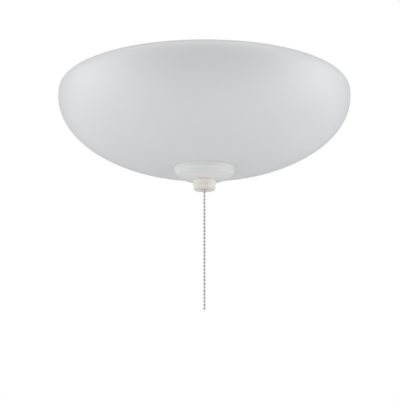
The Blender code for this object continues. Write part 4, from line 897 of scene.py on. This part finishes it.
def smooth_line(points, steps):
    """Points on a smooth curve through the given ones."""
    points = [Vector(p) for p in points]
    ends = [2 * points[0] - points[1], *points, 2 * points[-1] - points[-2]]
    line = []
    for i in range(1, len(ends) - 2):
        a, b, c, d = ends[i - 1:i + 3]
        for k in range(steps):
            t = k / steps
            line.append(0.5 * (2 * b + (c - a) * t + (2 * a - 5 * b + 4 * c - d) * t * t
                               + (3 * b - a - 3 * c + d) * t ** 3))
    return line + [points[-1]]


class LIGHTKIT_OT_leads(bpy.types.Operator):
    """Makes the leads inside the fitter and the twist-on connectors"""
    bl_idname = "lightkit.leads"
    bl_label = "Leads"

    def execute(self, context):
        lead, lamp = kit("leads"), kit("lamps")
        for side, hand in zip(SIDES, (1, -1)):
            for kind, way, tint in (("neutral", 1, lead.white), ("live", -1, lead.black)):
                line = smooth_line(self.route(lead, lamp, hand, way), 8)
                wire(f"{kind}_lead_{side}", line, lead.radius, insulation(kind + "_insulation", tint))
        orange = insulation("connector_shell", lead.orange)
        top, wall, radius, tip = lead.connector_level, lead.wall, lead.connector, lead.connector_top
        tall = lead.connector_height
        mouth = top - tall
        neck = mouth + tall / 3
        sides = [(tip + (radius - wall / 2 - tip) * t, top - wall + (neck - top + wall) * t)
                 for t in (0, 0.1, 0.25, 0.4, 0.55, 0.7, 0.85, 0.95)]
        line = [(0, top), (tip - wall * 0.7, top), (tip - wall / 4, top - wall / 3), *sides,
                (radius - wall / 2, neck), (radius, neck - ROUND), (radius, mouth), (radius - wall, mouth),
                (radius - wall, neck), (tip - wall, top - 2 * wall), (0, top - 2 * wall)]
        ridges, furrow = 12, 0.0005
        for node, way in (("neutral_connector", 1), ("live_connector", -1)):
            shell = ridged(lathe(line, 96), ridges, furrow, neck + 2 * EDGE, top - wall * 1.1)
            finished(node, placed(shell, Matrix.Translation((0, way * lead.offset, 0))), orange, 50)
        return {"FINISHED"}

    def route(self, lead, lamp, hand, way):
        """Points of one lead, from its holder up through the pan's opening to its connector."""
        skin = sqrt(lamp.body ** 2 - lead.spread ** 2)
        start = lamp.axis + skin + lead.radius
        x = lamp.start + lamp.reach / 4
        mouth = lead.connector_level - lead.connector_height
        end_x = lead.connector - lead.wall - lead.radius - HOLE_ROOM
        turn, r = mouth - 4 * lead.radius, lead.radius
        line = [(x, lead.spread, start), (x, lead.spread + r, start + 4 * r),
                (x - lead.spread / 3, lead.spread + 3 * r, start + 10 * r),
                (x / 2, (lead.spread + lead.offset) / 2, turn - 2 * r),
                (end_x + r, lead.offset, turn), (end_x, lead.offset, mouth - r),
                (end_x, lead.offset, mouth + lead.connector_height / 3)]
        return [(hand * x, way * y, z) for x, y, z in line]


class LIGHTKIT_OT_stage(bpy.types.Operator):
    """Sets the pale floor, the soft studio light and the camera"""
    bl_idname = "lightkit.stage"
    bl_label = "Stage"

    def execute(self, context):
        stage = kit("stage")
        shape = bmesh.new()
        bmesh.ops.create_circle(shape, cap_ends=True, radius=stage.spread, segments=96)
        mesh = mesh_of("floor", placed(shape, Matrix.Translation((0, 0, stage.floor))))
        paper = surface("pale_floor", stage.paper, 0.6, cloud=(0.4, 0.01), grain=(40, 0.05, 0.001))
        mesh.materials.append(paper)
        floor = added("floor", mesh)

        self.sky(context.scene, stage)
        middle = Vector((0, 0, -0.09))
        for name, (x, y, z), size, watts in (
                ("side_light", (2.6, -0.1, 0), 2.4, stage.sides),
                ("low_light", (2.0, -0.8, -1.6), 1.8, stage.low)):
            for hand, word in ((-1, "left"), (1, "right")):
                data = bpy.data.lights.new(f"{name}_{word}", "AREA")
                data.shape, data.size, data.energy = "SQUARE", size, watts
                light, place = added(data.name, data), Vector((hand * x, y, z))
                light.location = place
                light.rotation_mode = "QUATERNION"
                light.rotation_quaternion = (middle - place).to_track_quat("-Z", "Y")
                light.visible_camera = False

        context.scene.view_settings.view_transform = "Standard"
        data = bpy.data.cameras.new("camera")
        data.sensor_fit, data.sensor_width, data.lens = "HORIZONTAL", 36, stage.lens
        data.clip_start, data.clip_end = 0.1, 200
        camera = added("camera", data)
        away, down = stage.distance * cos(stage.slope), stage.distance * sin(stage.slope)
        camera.location = (0, -away, kit("bowl").rim - down)
        camera.rotation_euler = (pi / 2 + stage.aim, 0, stage.pan)
        context.scene.camera = camera
        return {"FINISHED"}

    def sky(self, scene, stage):
        """White to the camera, and on the object a soft light from above and all sides."""
        world = bpy.data.worlds.new("studio")
        world.use_nodes = True
        nodes = world.node_tree.nodes
        nodes.clear()

        def result_of(operation, *values):
            node = nodes.new("ShaderNodeMath")
            node.operation = operation
            return fed(node, dict(enumerate(values))).outputs[0]

        way, total, narrow = nodes.new("ShaderNodeTexCoord").outputs["Generated"], 0, 5.0
        for direction, strength in (
                ((0, 0, 1), stage.overhead), ((-1, 0, 0), stage.across), ((1, 0, 0), stage.across),
                ((0, -1, 0), stage.front), ((0, 1, 0), stage.back)):
            towards = fed(nodes.new("ShaderNodeVectorMath"), {0: way, 1: direction})
            towards.operation = "DOT_PRODUCT"
            falloff = result_of("MULTIPLY_ADD", towards.outputs["Value"], narrow, -narrow)
            total = result_of("MULTIPLY_ADD", result_of("EXPONENT", falloff), strength, total)
        around, behind = [
            fed(nodes.new("ShaderNodeBackground"), {"Color": (1, 1, 1, 1), "Strength": level}).outputs[0]
            for level in (total, 1)]
        seen = nodes.new("ShaderNodeLightPath").outputs["Is Camera Ray"]
        mix = fed(nodes.new("ShaderNodeMixShader"), {"Fac": seen, 1: around, 2: behind})
        fed(nodes.new("ShaderNodeOutputWorld"), {"Surface": mix.outputs[0]})
        scene.world = world


GROUPS = {
    "bowl": BowlSettings, "cap": CapSettings, "finial": FinialSettings, "chain": ChainSettings,
    "fitter": FitterSettings, "hardware": HardwareSettings, "switch": SwitchSettings,
    "lamps": LampSettings, "leads": LeadSettings, "stage": StageSettings,
}
STEPS = (LIGHTKIT_OT_bowl, LIGHTKIT_OT_cap, LIGHTKIT_OT_finial, LIGHTKIT_OT_chain, LIGHTKIT_OT_fitter,
         LIGHTKIT_OT_hardware, LIGHTKIT_OT_switch, LIGHTKIT_OT_holders, LIGHTKIT_OT_lamps,
         LIGHTKIT_OT_leads, LIGHTKIT_OT_stage)


class LIGHTKIT_PT_panel(bpy.types.Panel):
    bl_idname = "LIGHTKIT_PT_panel"
    bl_label = "Fan bowl light kit"
    bl_space_type = "VIEW_3D"
    bl_region_type = "UI"
    bl_category = "Light kit"

    def draw(self, context):
        for step in STEPS:
            self.layout.operator(step.bl_idname)
        for name, group in GROUPS.items():
            box = self.layout.box()
            box.label(text=name.capitalize())
            for prop in group.__annotations__:
                box.prop(kit(name), prop)


def register():
    for group in (*GROUPS.values(), *STEPS, LIGHTKIT_PT_panel):
        bpy.utils.register_class(group)
    for name, group in GROUPS.items():
        setattr(bpy.types.Scene, "light_kit_" + name, PointerProperty(type=group))


def unregister():
    for name in GROUPS:
        delattr(bpy.types.Scene, "light_kit_" + name)
    for group in (LIGHTKIT_PT_panel, *STEPS[::-1], *GROUPS.values()):
        bpy.utils.unregister_class(group)


def main():
    """Makes every piece in order."""
    register()
    for step in STEPS:
        group, name = step.bl_idname.split(".")
        getattr(getattr(bpy.ops, group), name)()


if __name__ == "__main__":
    main()
